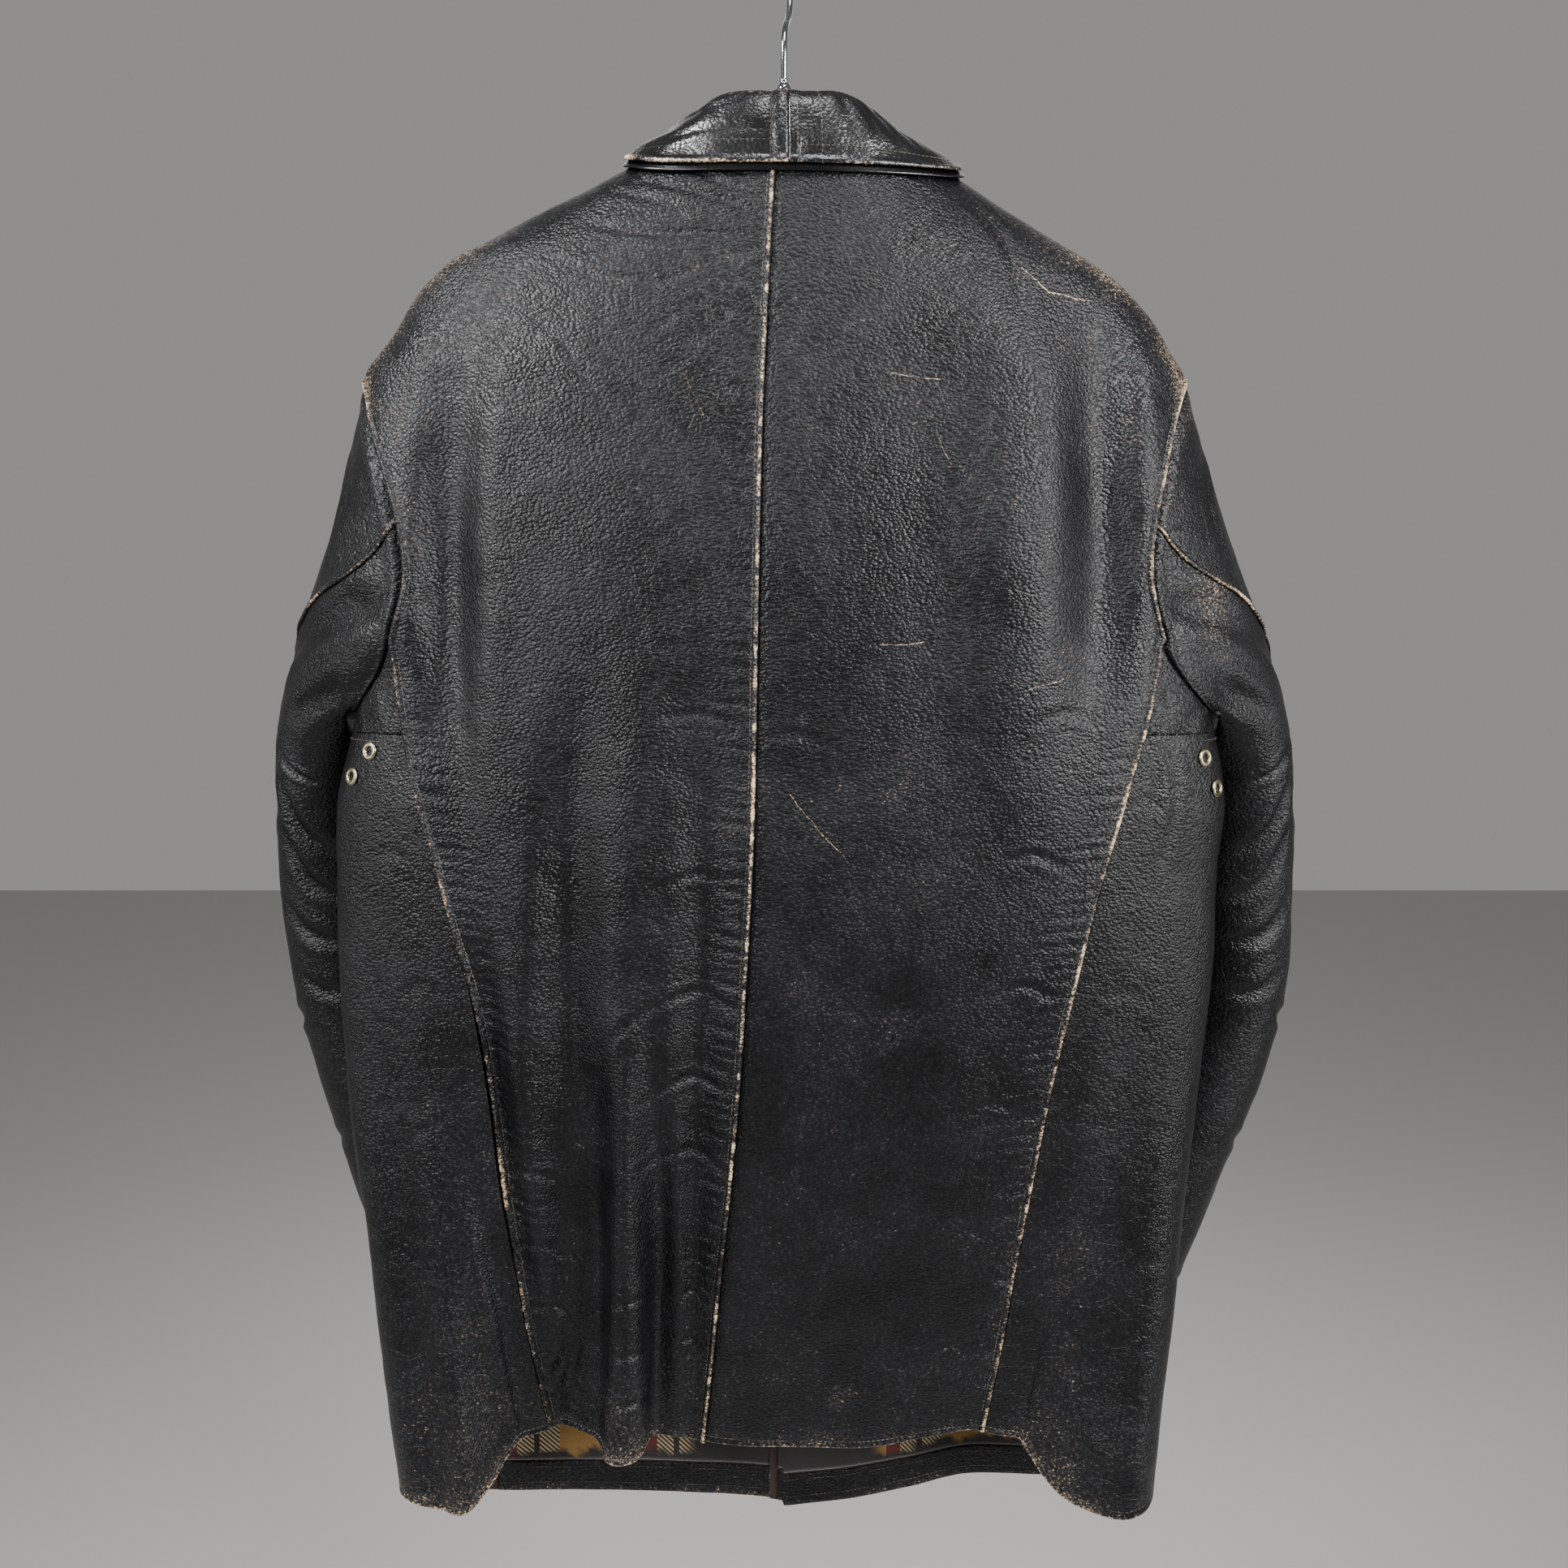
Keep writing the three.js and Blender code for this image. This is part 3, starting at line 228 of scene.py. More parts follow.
def rows_between(top, foot, pitch):
    """Heights of a panel's rows, close together at its top and foot."""
    inside = np.linspace(EDGE_LINES[-1], top - foot - EDGE_LINES[-1], int((top - foot) / pitch))
    return top - np.concatenate([EDGE_LINES[:-1], inside, (top - foot - EDGE_LINES[:-1])[::-1]])


def spread(surface, start, end, rows, pitch):
    """Places across a panel's rows, close together at both edges, and the distance from its start."""
    share = np.linspace(0, 1, 181)
    places = start[:, None] + (end - start)[:, None] * share
    steps = np.linalg.norm(np.diff(surface(places, rows[:, None]), axis=1), axis=2)
    run = np.concatenate([np.zeros((len(rows), 1)), np.cumsum(steps, axis=1)], axis=1)
    width = run[:, -1:]
    lines = EDGE_LINES * np.minimum(1, width / (3 * EDGE_LINES[-1]))
    count = int(width.max() / pitch)
    inner = np.linspace(0, 1, count + 2)[1:-1]
    middle = lines[:, -1:] + (width - 2 * lines[:, -1:]) * inner
    away = np.concatenate([lines, middle, (width - lines)[:, ::-1]], axis=1)
    shares = np.stack([np.interp(a, r, share) for a, r in zip(away, run)])
    return start[:, None] + (end - start)[:, None] * shares, away, width - away


def panel_grid(start, end, levels, pitch):
    """A panel's middle points, outward directions and heights, and the distances from both its edges."""
    angles, from_start, from_end = spread(ring_point, start, end, levels, pitch)
    level_grid = np.repeat(levels[:, None], angles.shape[1], axis=1)
    outward = normal_of(ring_point, angles, level_grid)
    return ring_point(angles, level_grid), outward, level_grid, from_start, from_end


def bell(x, width, power=2):
    """1 where x is 0, and less beside it, over a width."""
    return np.exp(-(x / width) ** power)


def drift(points, size, seed):
    """Smooth noise from -1 to 1 that changes over a distance of size millimetres."""
    flat = points.reshape(-1, 3) / size + seed
    return np.array([noise.noise(p) for p in flat]).reshape(points.shape[:-1])


def drift_along(run, size, seed, times=1):
    """The same noise along a line, by the distance run on it."""
    line = run / size * times
    return drift(np.stack([line, 0 * line, 0 * line], -1), 1, seed)


def drifts(points, height, *terms):
    """A height with layers of noise on it, each given as its strength, its size and its seed."""
    for strength, size, seed in terms:
        height = height + strength * drift(points, size, seed)
    return height


def seam_roll(away, height=1.5):
    """A turned and topstitched edge: a round roll, a line drawn down by the stitches, and a soft rise."""
    roll = height * bell(away - 1.8, 1.9, 4)
    drawn = 0.45 * bell(away - EDGE_LINES[STITCH_LINE], 0.9)
    return roll - drawn + 0.4 * bell(away, 9) - 0.7 * bell(away, 0.5)


def hem_roll(away):
    return 0.5 * bell(away, 3.5) - 0.8 * bell(away, 0.6) - 0.35 * bell(away - HEM_GROOVE, 1.2)


def puckers(away, run, strength, seed, spacing=8.5, slant=0.012, length=15):
    """Short creases square to a seam, where its stitches have drawn the leather up."""
    wander = drift_along(run, 34, seed)
    wave = np.cos(2 * np.pi * (run / spacing + 1.3 * wander + slant * away))
    uneven = 0.35 + 0.65 * np.clip(0.5 + 1.4 * drift_along(run, 34, seed + 5, 1.9), 0, 1)
    fade = bell(away, length * (0.6 + 0.8 * uneven)) * smoothstep(away, 2.5, 6)
    return -strength * uneven * fade * np.maximum(wave, -0.25)


def crease(a, b, path, width, depth):
    """A soft trough along a path, fading at its ends, with a low ridge on each side."""
    path = np.array(path, float)
    length = np.linalg.norm(np.diff(path, axis=0), axis=1).sum()
    share = np.linspace(0, len(path) - 1, max(28, int(length / (0.25 * width))))
    line = np.stack([curve_through(*enumerate(path[:, i]))(share) for i in (0, 1)], -1)
    near = ((a > line[:, 0].min() - 4 * width) & (a < line[:, 0].max() + 4 * width)
            & (b > line[:, 1].min() - 4 * width) & (b < line[:, 1].max() + 4 * width))
    relief = np.zeros_like(a)
    gap = np.hypot(a[near][:, None] - line[:, 0], b[near][:, None] - line[:, 1])
    nearest = gap.argmin(1)
    ends = np.sin(np.pi * (nearest + 0.5) / len(share)) ** 0.6
    off = gap.min(1) / width
    relief[near] = -depth * ends * (np.exp(-off ** 2) - 0.4 * bell(off - 1.9, 0.8))
    return relief


def linear(code):
    """A colour from its sRGB hex code, in the linear values that shaders use."""
    parts = [int(code[i:i + 2], 16) / 255 for i in (1, 3, 5)]
    return [p / 12.92 if p <= 0.04045 else ((p + 0.055) / 1.055) ** 2.4 for p in parts] + [1.0]


def connect(tree, node, links):
    """Gives a node's inputs a value, a socket or the first output of another node."""
    for key, value in links.items():
        if isinstance(value, bpy.types.Node):
            value = value.outputs[0]
        if isinstance(value, bpy.types.NodeSocket):
            tree.links.new(value, node.inputs[key])
        else:
            node.inputs[key].default_value = value


def add_node(tree, kind, links=None, **settings):
    """Adds a node. Settings are its own properties, and links are given to its inputs."""
    node = tree.nodes.new(kind)
    for key, value in settings.items():
        setattr(node, key, value)
    connect(tree, node, links or {})
    return node


def calculate(tree, operation, *values, kind="ShaderNodeMath"):
    return add_node(tree, kind, dict(enumerate(values)), operation=operation)


def noise_node(tree, where, size_mm, detail, roughness=0.5, distortion=0.0):
    return add_node(tree, "ShaderNodeTexNoise", {"Vector": where, "Scale": 1000 / size_mm, "Detail": detail,
                                                 "Roughness": roughness, "Distortion": distortion})


def map_node(tree, value, low, high, to_low=0.0, to_high=1.0, **settings):
    return add_node(tree, "ShaderNodeMapRange", {"Value": value, "From Min": low, "From Max": high,
                                                 "To Min": to_low, "To Max": to_high}, **settings)


def bump_node(tree, height, distance, strength):
    return add_node(tree, "ShaderNodeBump", {"Height": height, "Distance": distance, "Strength": strength})


def mix_colours(tree, share, *colours):
    """A colour between two, which are hex codes, linear values or sockets."""
    low, high = (linear(colour) if isinstance(colour, str) else colour for colour in colours)
    return add_node(tree, "ShaderNodeMix", {"Factor": share, 6: low, 7: high}, data_type="RGBA").outputs[2]


def new_material(name):
    """A material with its node tree, its shader and the coordinates of its object."""
    material = bpy.data.materials.new(name)
    material.use_nodes = True
    tree = material.node_tree
    where = add_node(tree, "ShaderNodeTexCoord").outputs["Object"]
    return material, tree, tree.nodes["Principled BSDF"], where


def mottled_material(name, colours, size_mm, detail, roughness, distortion=0.0, stretch=(1.0, 1.0, 1.0),
                     span=(0.0, 1.0)):
    """A material that drifts between two colours over about size_mm."""
    material, tree, shader, where = new_material(name)
    stretched = add_node(tree, "ShaderNodeMapping", {"Vector": where, "Scale": stretch})
    mottle = noise_node(tree, stretched, size_mm, detail, distortion=distortion)
    colour = mix_colours(tree, map_node(tree, mottle, *span), *colours)
    connect(tree, shader, {"Base Color": colour, "Roughness": roughness})
    return material, tree, shader, mottle


# Black cowhide: drum dyed, embossed with a fine pebble grain that leans across the hide, and finished
# with a thin pigmented coat. The coat breaks the light into specks, and where it is rubbed through, the
# hide shows, brown at first and then tan, on the tops of the grain before the hollows.
GRAIN_MM = 1.6
WRINKLE_MM = 3.6
CRUMPLE_MM = 13.0
SPECK_MM = 1.3
PATCH_MM = 60.0
GRAIN_LEAN = np.radians(32)
GRAIN_STRETCH = (0.72, 1.0, 1.0)
GRAIN_WARP = (0.004, 0.004, 0.004)
SCRATCH_WANDER = (0.012, 0.0, 0.012)
WEAR_COLOURS = [(0.0, "#020203"), (0.3, "#0b0c10"), (0.46, "#1c1c1e"), (0.6, "#40362d"), (0.76, "#806b53"),
                (1.0, "#b3a084")]


def leather_material(name, roughness=0.4, grain=0.52, shine=0.25, scratches=()):
    """Leather whose wear and crumpling follow two vertex attributes, grain in millimetres. The wear one
    also carries painted shade: where a piece lowers it, the leather is darker.
    """
    material, tree, shader, where = new_material(name)
    wear_and_shade, crumple = (add_node(tree, "ShaderNodeAttribute", attribute_name=label).outputs["Fac"]
                     for label in ("wear_and_shade", "crumple"))

    def vectors(operation, *values):
        return calculate(tree, operation, *values, kind="ShaderNodeVectorMath")

    leaning = add_node(tree, "ShaderNodeMapping", {"Vector": where, "Rotation": (0.0, GRAIN_LEAN, 0.0),
                                                   "Scale": GRAIN_STRETCH})
    warp = noise_node(tree, where, CRUMPLE_MM, 2.0)
    bent = vectors("ADD", leaning, vectors("MULTIPLY", warp.outputs["Color"], GRAIN_WARP))
    pebbles = add_node(tree, "ShaderNodeTexVoronoi", {"Vector": bent, "Scale": 1000 / GRAIN_MM})
    creasing = noise_node(tree, leaning, CRUMPLE_MM, 2.5, 0.55, 0.9)
    from_line = calculate(tree, "ABSOLUTE", calculate(tree, "SUBTRACT", creasing, 0.5))
    line = map_node(tree, from_line, 0.0, 0.03, -0.3, 0.0, interpolation_type="SMOOTHSTEP")
    creased = calculate(tree, "MULTIPLY", line, crumple)
    wrinkles = noise_node(tree, leaning, WRINKLE_MM, 5.0, 0.6, 0.5)
    speckle = noise_node(tree, leaning, SPECK_MM, 2.0, 0.7)
    patches = noise_node(tree, where, PATCH_MM, 5.0, 0.62)
    # Wear grows in specks: the worn amount, a patchy noise and a fine one are added together.
    uneven = calculate(tree, "MULTIPLY_ADD", patches, 0.9, -0.45)
    specks = calculate(tree, "MULTIPLY_ADD", speckle, 1.9, -0.95)
    worn = calculate(tree, "ADD", calculate(tree, "ADD", uneven, specks), wear_and_shade)
    worn = calculate(tree, "MULTIPLY_ADD", pebbles, -0.42, worn)
    worn = calculate(tree, "MULTIPLY_ADD", creased, -0.5, worn)
    for a, b, width in scratches:
        along = Vector(b) - Vector(a)
        moved = vectors("ADD", where, vectors("MULTIPLY", patches.outputs["Color"], SCRATCH_WANDER))
        offset = vectors("SUBTRACT", vectors("MULTIPLY", moved, (1.0, 0.0, 1.0)),
                         Vector(a) + Vector(SCRATCH_WANDER) / 2)
        dot = vectors("DOT_PRODUCT", offset, along / along.length_squared)
        share = add_node(tree, "ShaderNodeClamp", {0: dot.outputs["Value"]})
        foot = add_node(tree, "ShaderNodeVectorMath", {0: along, "Scale": share}, operation="SCALE")
        gap = vectors("DISTANCE", offset, foot)
        worn = calculate(tree, "ADD", worn,
                         map_node(tree, gap.outputs["Value"], 0.0, width * MM, 0.75, 0.0))
    colour = add_node(tree, "ShaderNodeValToRGB", {"Fac": worn})
    ramp = colour.color_ramp.elements
    while len(ramp) < len(WEAR_COLOURS):
        ramp.new(0.5)
    for stop, (place, code) in zip(ramp, WEAR_COLOURS):
        stop.position = place
        stop.color = linear(code)
    gloss = map_node(tree, patches, 0.3, 0.7, roughness - 0.08, roughness + 0.08)
    bare = map_node(tree, worn, 0.5, 0.8, 0.0, 0.3)
    # Heights in millimetres: the pebbles, the drift of the surface, and the lines where it has crumpled.
    pebble = calculate(tree, "MULTIPLY", pebbles, -grain)
    drifted = calculate(tree, "MULTIPLY_ADD", wrinkles, 0.09, pebble)
    height = calculate(tree, "ADD", creased, drifted)
    connect(tree, shader, {"Base Color": colour, "Roughness": calculate(tree, "ADD", bare, gloss),
                           "Normal": bump_node(tree, height, MM, 1.0), "IOR": 1.47,
                           "Specular IOR Level": shine})
    return material


# Scratches on the back, from and to, in metres, with half their width in millimetres.
SCRATCHES = [
    ((0.140, 0, -0.2036), (0.157, 0, -0.2176), 0.6),
    ((0.157, 0, -0.2176), (0.181, 0, -0.220), 0.6),
    ((0.063, 0, -0.265), (0.091, 0, -0.2675), 0.45),
    ((0.055, 0, -0.4218), (0.084, 0, -0.4194), 0.45),
    ((0.1447, 0, -0.448), (0.1665, 0, -0.4434), 0.4),
    ((0.004, 0, -0.510), (0.036, 0, -0.5485), 0.25),
    ((0.090, 0, -0.300), (0.098, 0, -0.318), 0.25),
    ((-0.060, 0, -0.262), (-0.048, 0, -0.290), 0.25),
]
back_leather = leather_material("pebbled_cowhide_back", scratches=SCRATCHES)
body_leather = leather_material("pebbled_cowhide")

# The flesh side of the hide: dark brown, napped and quite matt.
NAP_MM = 0.8
NAP_HEIGHT = 0.4 * MM
flesh_side, nap_tree, nap_shader, nap = mottled_material(
    "hide_flesh_side", ("#19130f", "#33261d"), NAP_MM, 3.0, 0.95)
connect(nap_tree, nap_shader, {"Normal": bump_node(nap_tree, nap, NAP_HEIGHT, 0.5)})

HIDE_THICKNESS = 1.5


def add_object(name, mesh):
    piece = bpy.data.objects.new(name, mesh)
    bpy.context.scene.collection.objects.link(piece)
    return piece


def stand_for(piece, node):
    """Fixes a piece to the coat in place of a plain one."""
    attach(piece, "root")
    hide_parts(node)


def cloth_piece(name, points, normals, wear_and_shade, crumple, uv, materials, node, thickness=HIDE_THICKNESS):
    """Turns a grid of points in millimetres into a thin cloth piece that stands for a CAD node."""
    rows, columns = points.shape[:2]
    mesh = bpy.data.meshes.new(name)
    corner = np.arange(rows * columns).reshape(rows, columns)
    quads = (corner[:-1, :-1], corner[1:, :-1], corner[1:, 1:], corner[:-1, 1:])
    faces = np.stack(quads, -1).reshape(-1, 4)
    sample = points.reshape(-1, 3)[faces[len(faces) // 2]]
    facing = np.cross(sample[1] - sample[0], sample[3] - sample[0])
    if facing @ normals.reshape(-1, 3)[faces[len(faces) // 2][0]] < 0:
        faces = faces[:, ::-1]
    mesh.from_pydata((points.reshape(-1, 3) * MM).tolist(), [], faces.tolist())
    mesh.polygons.foreach_set("use_smooth", np.ones(len(faces), bool))
    layer = mesh.uv_layers.new(name="UVMap")
    loops = np.zeros(len(mesh.loops), np.int32)
    mesh.loops.foreach_get("vertex_index", loops)
    layer.data.foreach_set("uv", (uv.reshape(-1, 2)[loops] * MM).astype(np.float32).ravel())
    for label, values in (("wear_and_shade", wear_and_shade), ("crumple", crumple)):
        attribute = mesh.attributes.new(label, "FLOAT", "POINT")
        values = np.broadcast_to(values, points.shape[:2])
        attribute.data.foreach_set("value", values.astype(np.float32).ravel())
    for material in materials:
        mesh.materials.append(material)
    piece = add_object(name, mesh)
    wall = piece.modifiers.new("wall", "SOLIDIFY")
    wall.thickness = thickness * MM
    wall.offset = -1
    wall.material_offset = len(materials) - 1
    stand_for(piece, node)
    return piece


# Creases of the back, as (x, z) places in millimetres with a half-width and a depth.
BACK_CREASES = {
    -1: [
        ([(-88, -150), (-60, -158), (-30, -167), (-14, -176)], 2.6, 1.0),
        ([(-112, -152), (-84, -162), (-58, -169)], 2.4, 0.7),
        ([(-74, -137), (-52, -147), (-26, -160)], 2.6, 0.9),
        ([(-52, -128), (-34, -136), (-18, -146)], 2.4, 0.7),
        ([(-122, -176), (-80, -184), (-44, -185), (-16, -187)], 2.8, 0.9),
        ([(-16, -194), (-44, -202), (-76, -216)], 2.4, 0.6),
        ([(-17, -205), (-46, -222), (-84, -246)], 2.4, 0.5),
        ([(-18, -218), (-46, -244), (-76, -272)], 2.6, 0.45),
        ([(-150, -190), (-110, -208), (-70, -212)], 3.0, 0.6),
        ([(-170, -215), (-130, -245), (-100, -290)], 3.4, 0.6),
        ([(-26, -470), (-50, -462), (-80, -466)], 3.2, 0.5),
        ([(-28, -570), (-54, -560), (-86, -572)], 3.4, 0.6),
        ([(-30, -642), (-56, -634), (-90, -648), (-120, -676)], 3.6, 0.8),
        ([(-34, -700), (-60, -690), (-92, -706)], 3.4, 0.9),
        ([(-38, -748), (-64, -738), (-94, -750)], 3.4, 0.9),
        ([(-184, -760), (-160, -752), (-140, -764)], 3.0, 0.9),
        ([(-178, -812), (-156, -802), (-138, -816)], 3.0, 1.0),
        ([(-170, -858), (-150, -846), (-134, -862)], 2.8, 1.1),
        ([(-158, -906), (-146, -880), (-140, -860)], 2.6, 1.3),
        ([(-150, -910), (-141, -886), (-137, -868)], 2.4, 1.2),
        ([(-142, -912), (-134, -890), (-131, -874)], 2.4, 1.1),
        ([(-110, -838), (-92, -832), (-78, -842)], 2.6, 0.9),
        ([(-112, -874), (-94, -868), (-78, -880)], 2.6, 1.0),
        ([(-114, -908), (-96, -900), (-80, -912)], 2.6, 1.0),
        ([(-52, -842), (-60, -836), (-70, -842)], 2.4, 0.8),
        ([(-54, -878), (-62, -870), (-72, -878)], 2.4, 0.8),
    ],
    1: [
        ([(20, -132), (50, -140), (86, -152)], 2.8, 0.6),
        ([(112, -160), (134, -196), (140, -240)], 5.0, 0.8),
        ([(176, -560), (150, -548), (128, -556)], 3.6, 0.7),
        ([(168, -640), (146, -630), (126, -640)], 3.6, 0.8),
        ([(190, -470), (168, -462), (146, -470)], 3.8, 0.6),
        ([(150, -716), (128, -706), (110, -716)], 3.4, 0.6),
        ([(134, -800), (114, -792), (98, -802)], 3.2, 0.6),
        ([(122, -880), (104, -872), (90, -882)], 3.0, 0.6),
        ([(-20, -480), (4, -474), (30, -482)], 4.0, 0.4),
        ([(200, -236), (206, -276), (200, -320)], 6.0, 0.9),
    ],
}
# Broad swags between the seams, given in the same way. A negative depth is a ridge.
BACK_SWAGS = {
    -1: [
        ([(-84, -420), (-90, -580), (-97, -760), (-104, -980)], 19, -6.0),
        ([(-42, -500), (-50, -660), (-60, -800), (-72, -980)], 11, 5.2),
        ([(-128, -480), (-133, -640), (-136, -780), (-138, -980)], 14, 6.4),
        ([(-96, -640), (-99, -800), (-102, -980)], 9, -6.0),
        ([(-118, -680), (-121, -840), (-125, -980)], 9, 7.0),
        ([(-78, -700), (-80, -860), (-84, -980)], 8, 7.0),
        ([(-66, -700), (-68, -820), (-72, -980)], 5, -2.0),
        ([(-189, -600), (-184, -660), (-176, -740), (-168, -820), (-150, -960)], 9, 7.5),
        ([(-208, -225), (-222, -320), (-226, -440), (-222, -520)], 15, -4.2),
        ([(-182, -240), (-196, -340), (-198, -480), (-190, -600)], 13, 2.6),
        ([(-160, -560), (-158, -640), (-156, -720)], 14, -1.6),
    ],
    1: [
        ([(128, -270), (138, -400), (132, -540)], 26, -2.6),
        ([(176, -240), (186, -350), (182, -470)], 15, 3.6),
        ([(208, -240), (220, -350), (214, -470)], 14, -3.2),
        ([(60, -560), (56, -700), (60, -860)], 30, 1.6),
        ([(104, -620), (100, -760), (96, -900)], 16, -1.4),
    ],
}
# Rubbed places of the back, as x, z and radius in millimetres and how far they are worn.
BACK_BLOTCHES = [
    (194, -425, 17, 0.2), (188, -300, 22, 0.1), (74, -655, 13, 0.2), (62, -668, 9, 0.18),
    (38, -912, 11, 0.22),
    (-118, -905, 16, 0.12), (160, -440, 26, 0.12), (120, -330, 30, 0.08), (178, -560, 16, 0.12),
    (-150, -300, 30, 0.06)]

BACK_PITCH = (2.1, 4.6)
SEAM_TONE_MM = 46
# The left back has hung in deeper folds, and the right one is rubbed more, most of all along its side seam.
RUMPLE = {-1: 1.0, 1: 0.6}
BACK_CRUMPLE = {-1: 0.16, 1: 0.08}
BACK_WEAR = {-1: 0.2, 1: 0.24}
SIDE_SEAM_WEAR = {-1: 0.24, 1: 0.44}
SHOULDER_WEAR = {-1: 0.42, 1: 0.38}
SHOULDER_LEAN = {-1: 0.42, 1: 0.5}
SHOULDER_BREADTH = {-1: 0.36, 1: 0.42}
SEWN_BELOW = ARM_TOP_Z - 6
SIDES = ((-1, "left"), (1, "right"))

stitch_paths = {}
for side, hand in SIDES:
    levels = rows_between(NECK_Z, HEM_Z, BACK_PITCH[0])
    middle, outward, level_grid, from_centre, from_side = panel_grid(
        centre_back_angle(levels), panel_edge_angle(side, levels, True), levels, BACK_PITCH[1])
    x, z = middle[..., 0], middle[..., 2]
    run = -level_grid
    from_hem = (level_grid - HEM_Z) * HEM_STRETCH["back"]
    rumple = RUMPLE[side]
    relief = drifts(middle, LEATHER / 2, (1.3, 85, 3), (rumple * 0.6, 27, 9), (rumple * 0.26, 11, 14))
    for path, half_width, depth in BACK_SWAGS[side]:
        relief += crease(x, z, path, half_width, depth)
    if side < 0:
        relief += seam_roll(from_centre)
        strength = 0.55 + 0.7 * smoothstep(-z, 330, 620) - 0.2 * smoothstep(-z, 820, 940)
        relief += puckers(from_centre, run, strength, 21, 9.5, 0.01, 17)
    below_arm = z < ARM_TOP_Z
    relief += np.where(below_arm, seam_roll(from_side, 1.3), 0)
    relief += puckers(from_side, run, 1.1 * smoothstep(-z, 400, 520), 40 + side, 8.5, -0.014, 20)
    relief += hem_roll(from_hem)
    rubbed = 0 * x
    for path, half_width, depth in BACK_CREASES[side]:
        dent = crease(x, z, path, 0.8 * half_width, depth)
        relief += 1.4 * dent
        rubbed = np.maximum(rubbed, -dent / depth)
    if side > 0:
        relief -= 0.9 * bell(from_centre, 4)
    points = middle + outward * relief[..., None]
    side_tone = SIDE_SEAM_WEAR[side] + 0.6 * drift_along(run, SEAM_TONE_MM, 60 + side)
    side_tone += 0.5 * drift_along(run, SEAM_TONE_MM, 63 + side, 7)
    if side < 0:
        side_tone -= 0.34 * smoothstep(z, -430, -410) * (1 - smoothstep(z, -300, -280))
    wear_and_shade = BACK_WEAR[side] + 0.2 * rubbed * (1 - smoothstep(-z, 300, 420))
    if side < 0:
        centre_tone = 0.54 - 0.14 * smoothstep(-z, 620, 760) + 0.45 * drift_along(run, SEAM_TONE_MM * 1.3,
                                                                                  58)
        centre_tone += 0.8 * drift_along(run, SEAM_TONE_MM, 59, 7)
        wear_and_shade += centre_tone * bell(from_centre - 1.5, 1.3, 4) + 0.16 * np.exp(-from_centre / 12)
        # Painted shade: the left panel's very edge is darkened, as the shadow in the gap beside the lower
        # right panel.
        wear_and_shade -= 0.5 * bell(from_centre, 0.5)
    wear_and_shade += np.where(below_arm, 1, 0) * (side_tone * bell(from_side - 1.3, 1.6, 4)
                                         + 0.16 * np.exp(-from_side / 14))
    shoulder = smoothstep(np.abs(x), 100, 215) * smoothstep(-z, 130, 160) * (1 - smoothstep(-z, 260, 350))
    ridge = bell(outward[..., 1] + SHOULDER_LEAN[side], SHOULDER_BREADTH[side])
    wear_and_shade += SHOULDER_WEAR[side] * shoulder * ridge
    wear_and_shade += 0.14 * bell(x + 223, 20) * smoothstep(-z, 250, 290) * (1 - smoothstep(-z, 330, 460))
    wear_and_shade += 0.16 * bell(from_hem, 14) + 0.5 * bell(from_hem, 1.3)
    wear_and_shade += 0.3 * bell(x + 106, 24) * smoothstep(-z, 860, 950)
    for at_x, at_z, size, rub in BACK_BLOTCHES:
        wear_and_shade += rub * np.exp(-(((x - at_x) / size) ** 2 + ((z - at_z) / size) ** 2) ** 2)
    crumple = BACK_CRUMPLE[side] + 0.35 * np.exp(-from_side / 22) * smoothstep(-z, 380, 480)
    if side < 0:
        crumple += 0.5 * bell(x + 60, 70) * (1 - smoothstep(-z, 210, 330)) + 0.3 * np.exp(-from_centre / 16)
    uv = np.stack([from_centre, -run], -1)
    back = cloth_piece(f"back_panel_{hand}", points, outward, wear_and_shade, crumple, uv,
                       [back_leather, flesh_side], f"back_{hand}")
    proud = points + outward * THREAD_PROUD
    if side < 0:
        stitch_paths["centre_back"] = proud[:, STITCH_LINE]
    stitch_paths[f"side_back_{hand}"] = proud[levels < SEWN_BELOW][:, -1 - STITCH_LINE]
    stitch_paths[f"back_hem_{hand}"] = proud[-1 - STITCH_LINE, 1:-1]

# Side panels and gussets
# Each side is one long panel under the arm, with a small gusset above it that lets the arm lift. Both
# are tucked under the edges of the back and the front, and the side's hem swings into a fold.
SIDE_PITCH = (3.2, 3.8)
# Crest of the hem's side lobe, in millimetres from the back seam, its height, and where it is rubbed.
LOBE_CREST = {-1: 27, 1: 24}
LOBE_HEIGHT = 9
LOBE_RUB = {-1: 45, 1: 40}
SIDE_WEAR = {-1: 0.12, 1: 0.048}
ARMHOLE_DROP = 44
ARMHOLE_ROUNDNESS = 0.8
SIDE_CREASES = {
    -1: [([(-262, -560), (-244, -548), (-228, -556)], 3.0, 0.6),
         ([(-252, -742), (-226, -726), (-200, -712)], 3.0, 0.7),
         ([(-240, -640), (-222, -632), (-206, -640)], 3.2, 0.5)],
    1: [([(214, -470), (226, -500), (222, -540)], 3.0, 0.8),
        ([(228, -476), (240, -510), (232, -560)], 3.0, 0.7),
        ([(206, -520), (222, -516), (236, -528)], 2.6, 0.6),
        ([(196, -640), (214, -636), (230, -648)], 3.0, 0.5)],
}
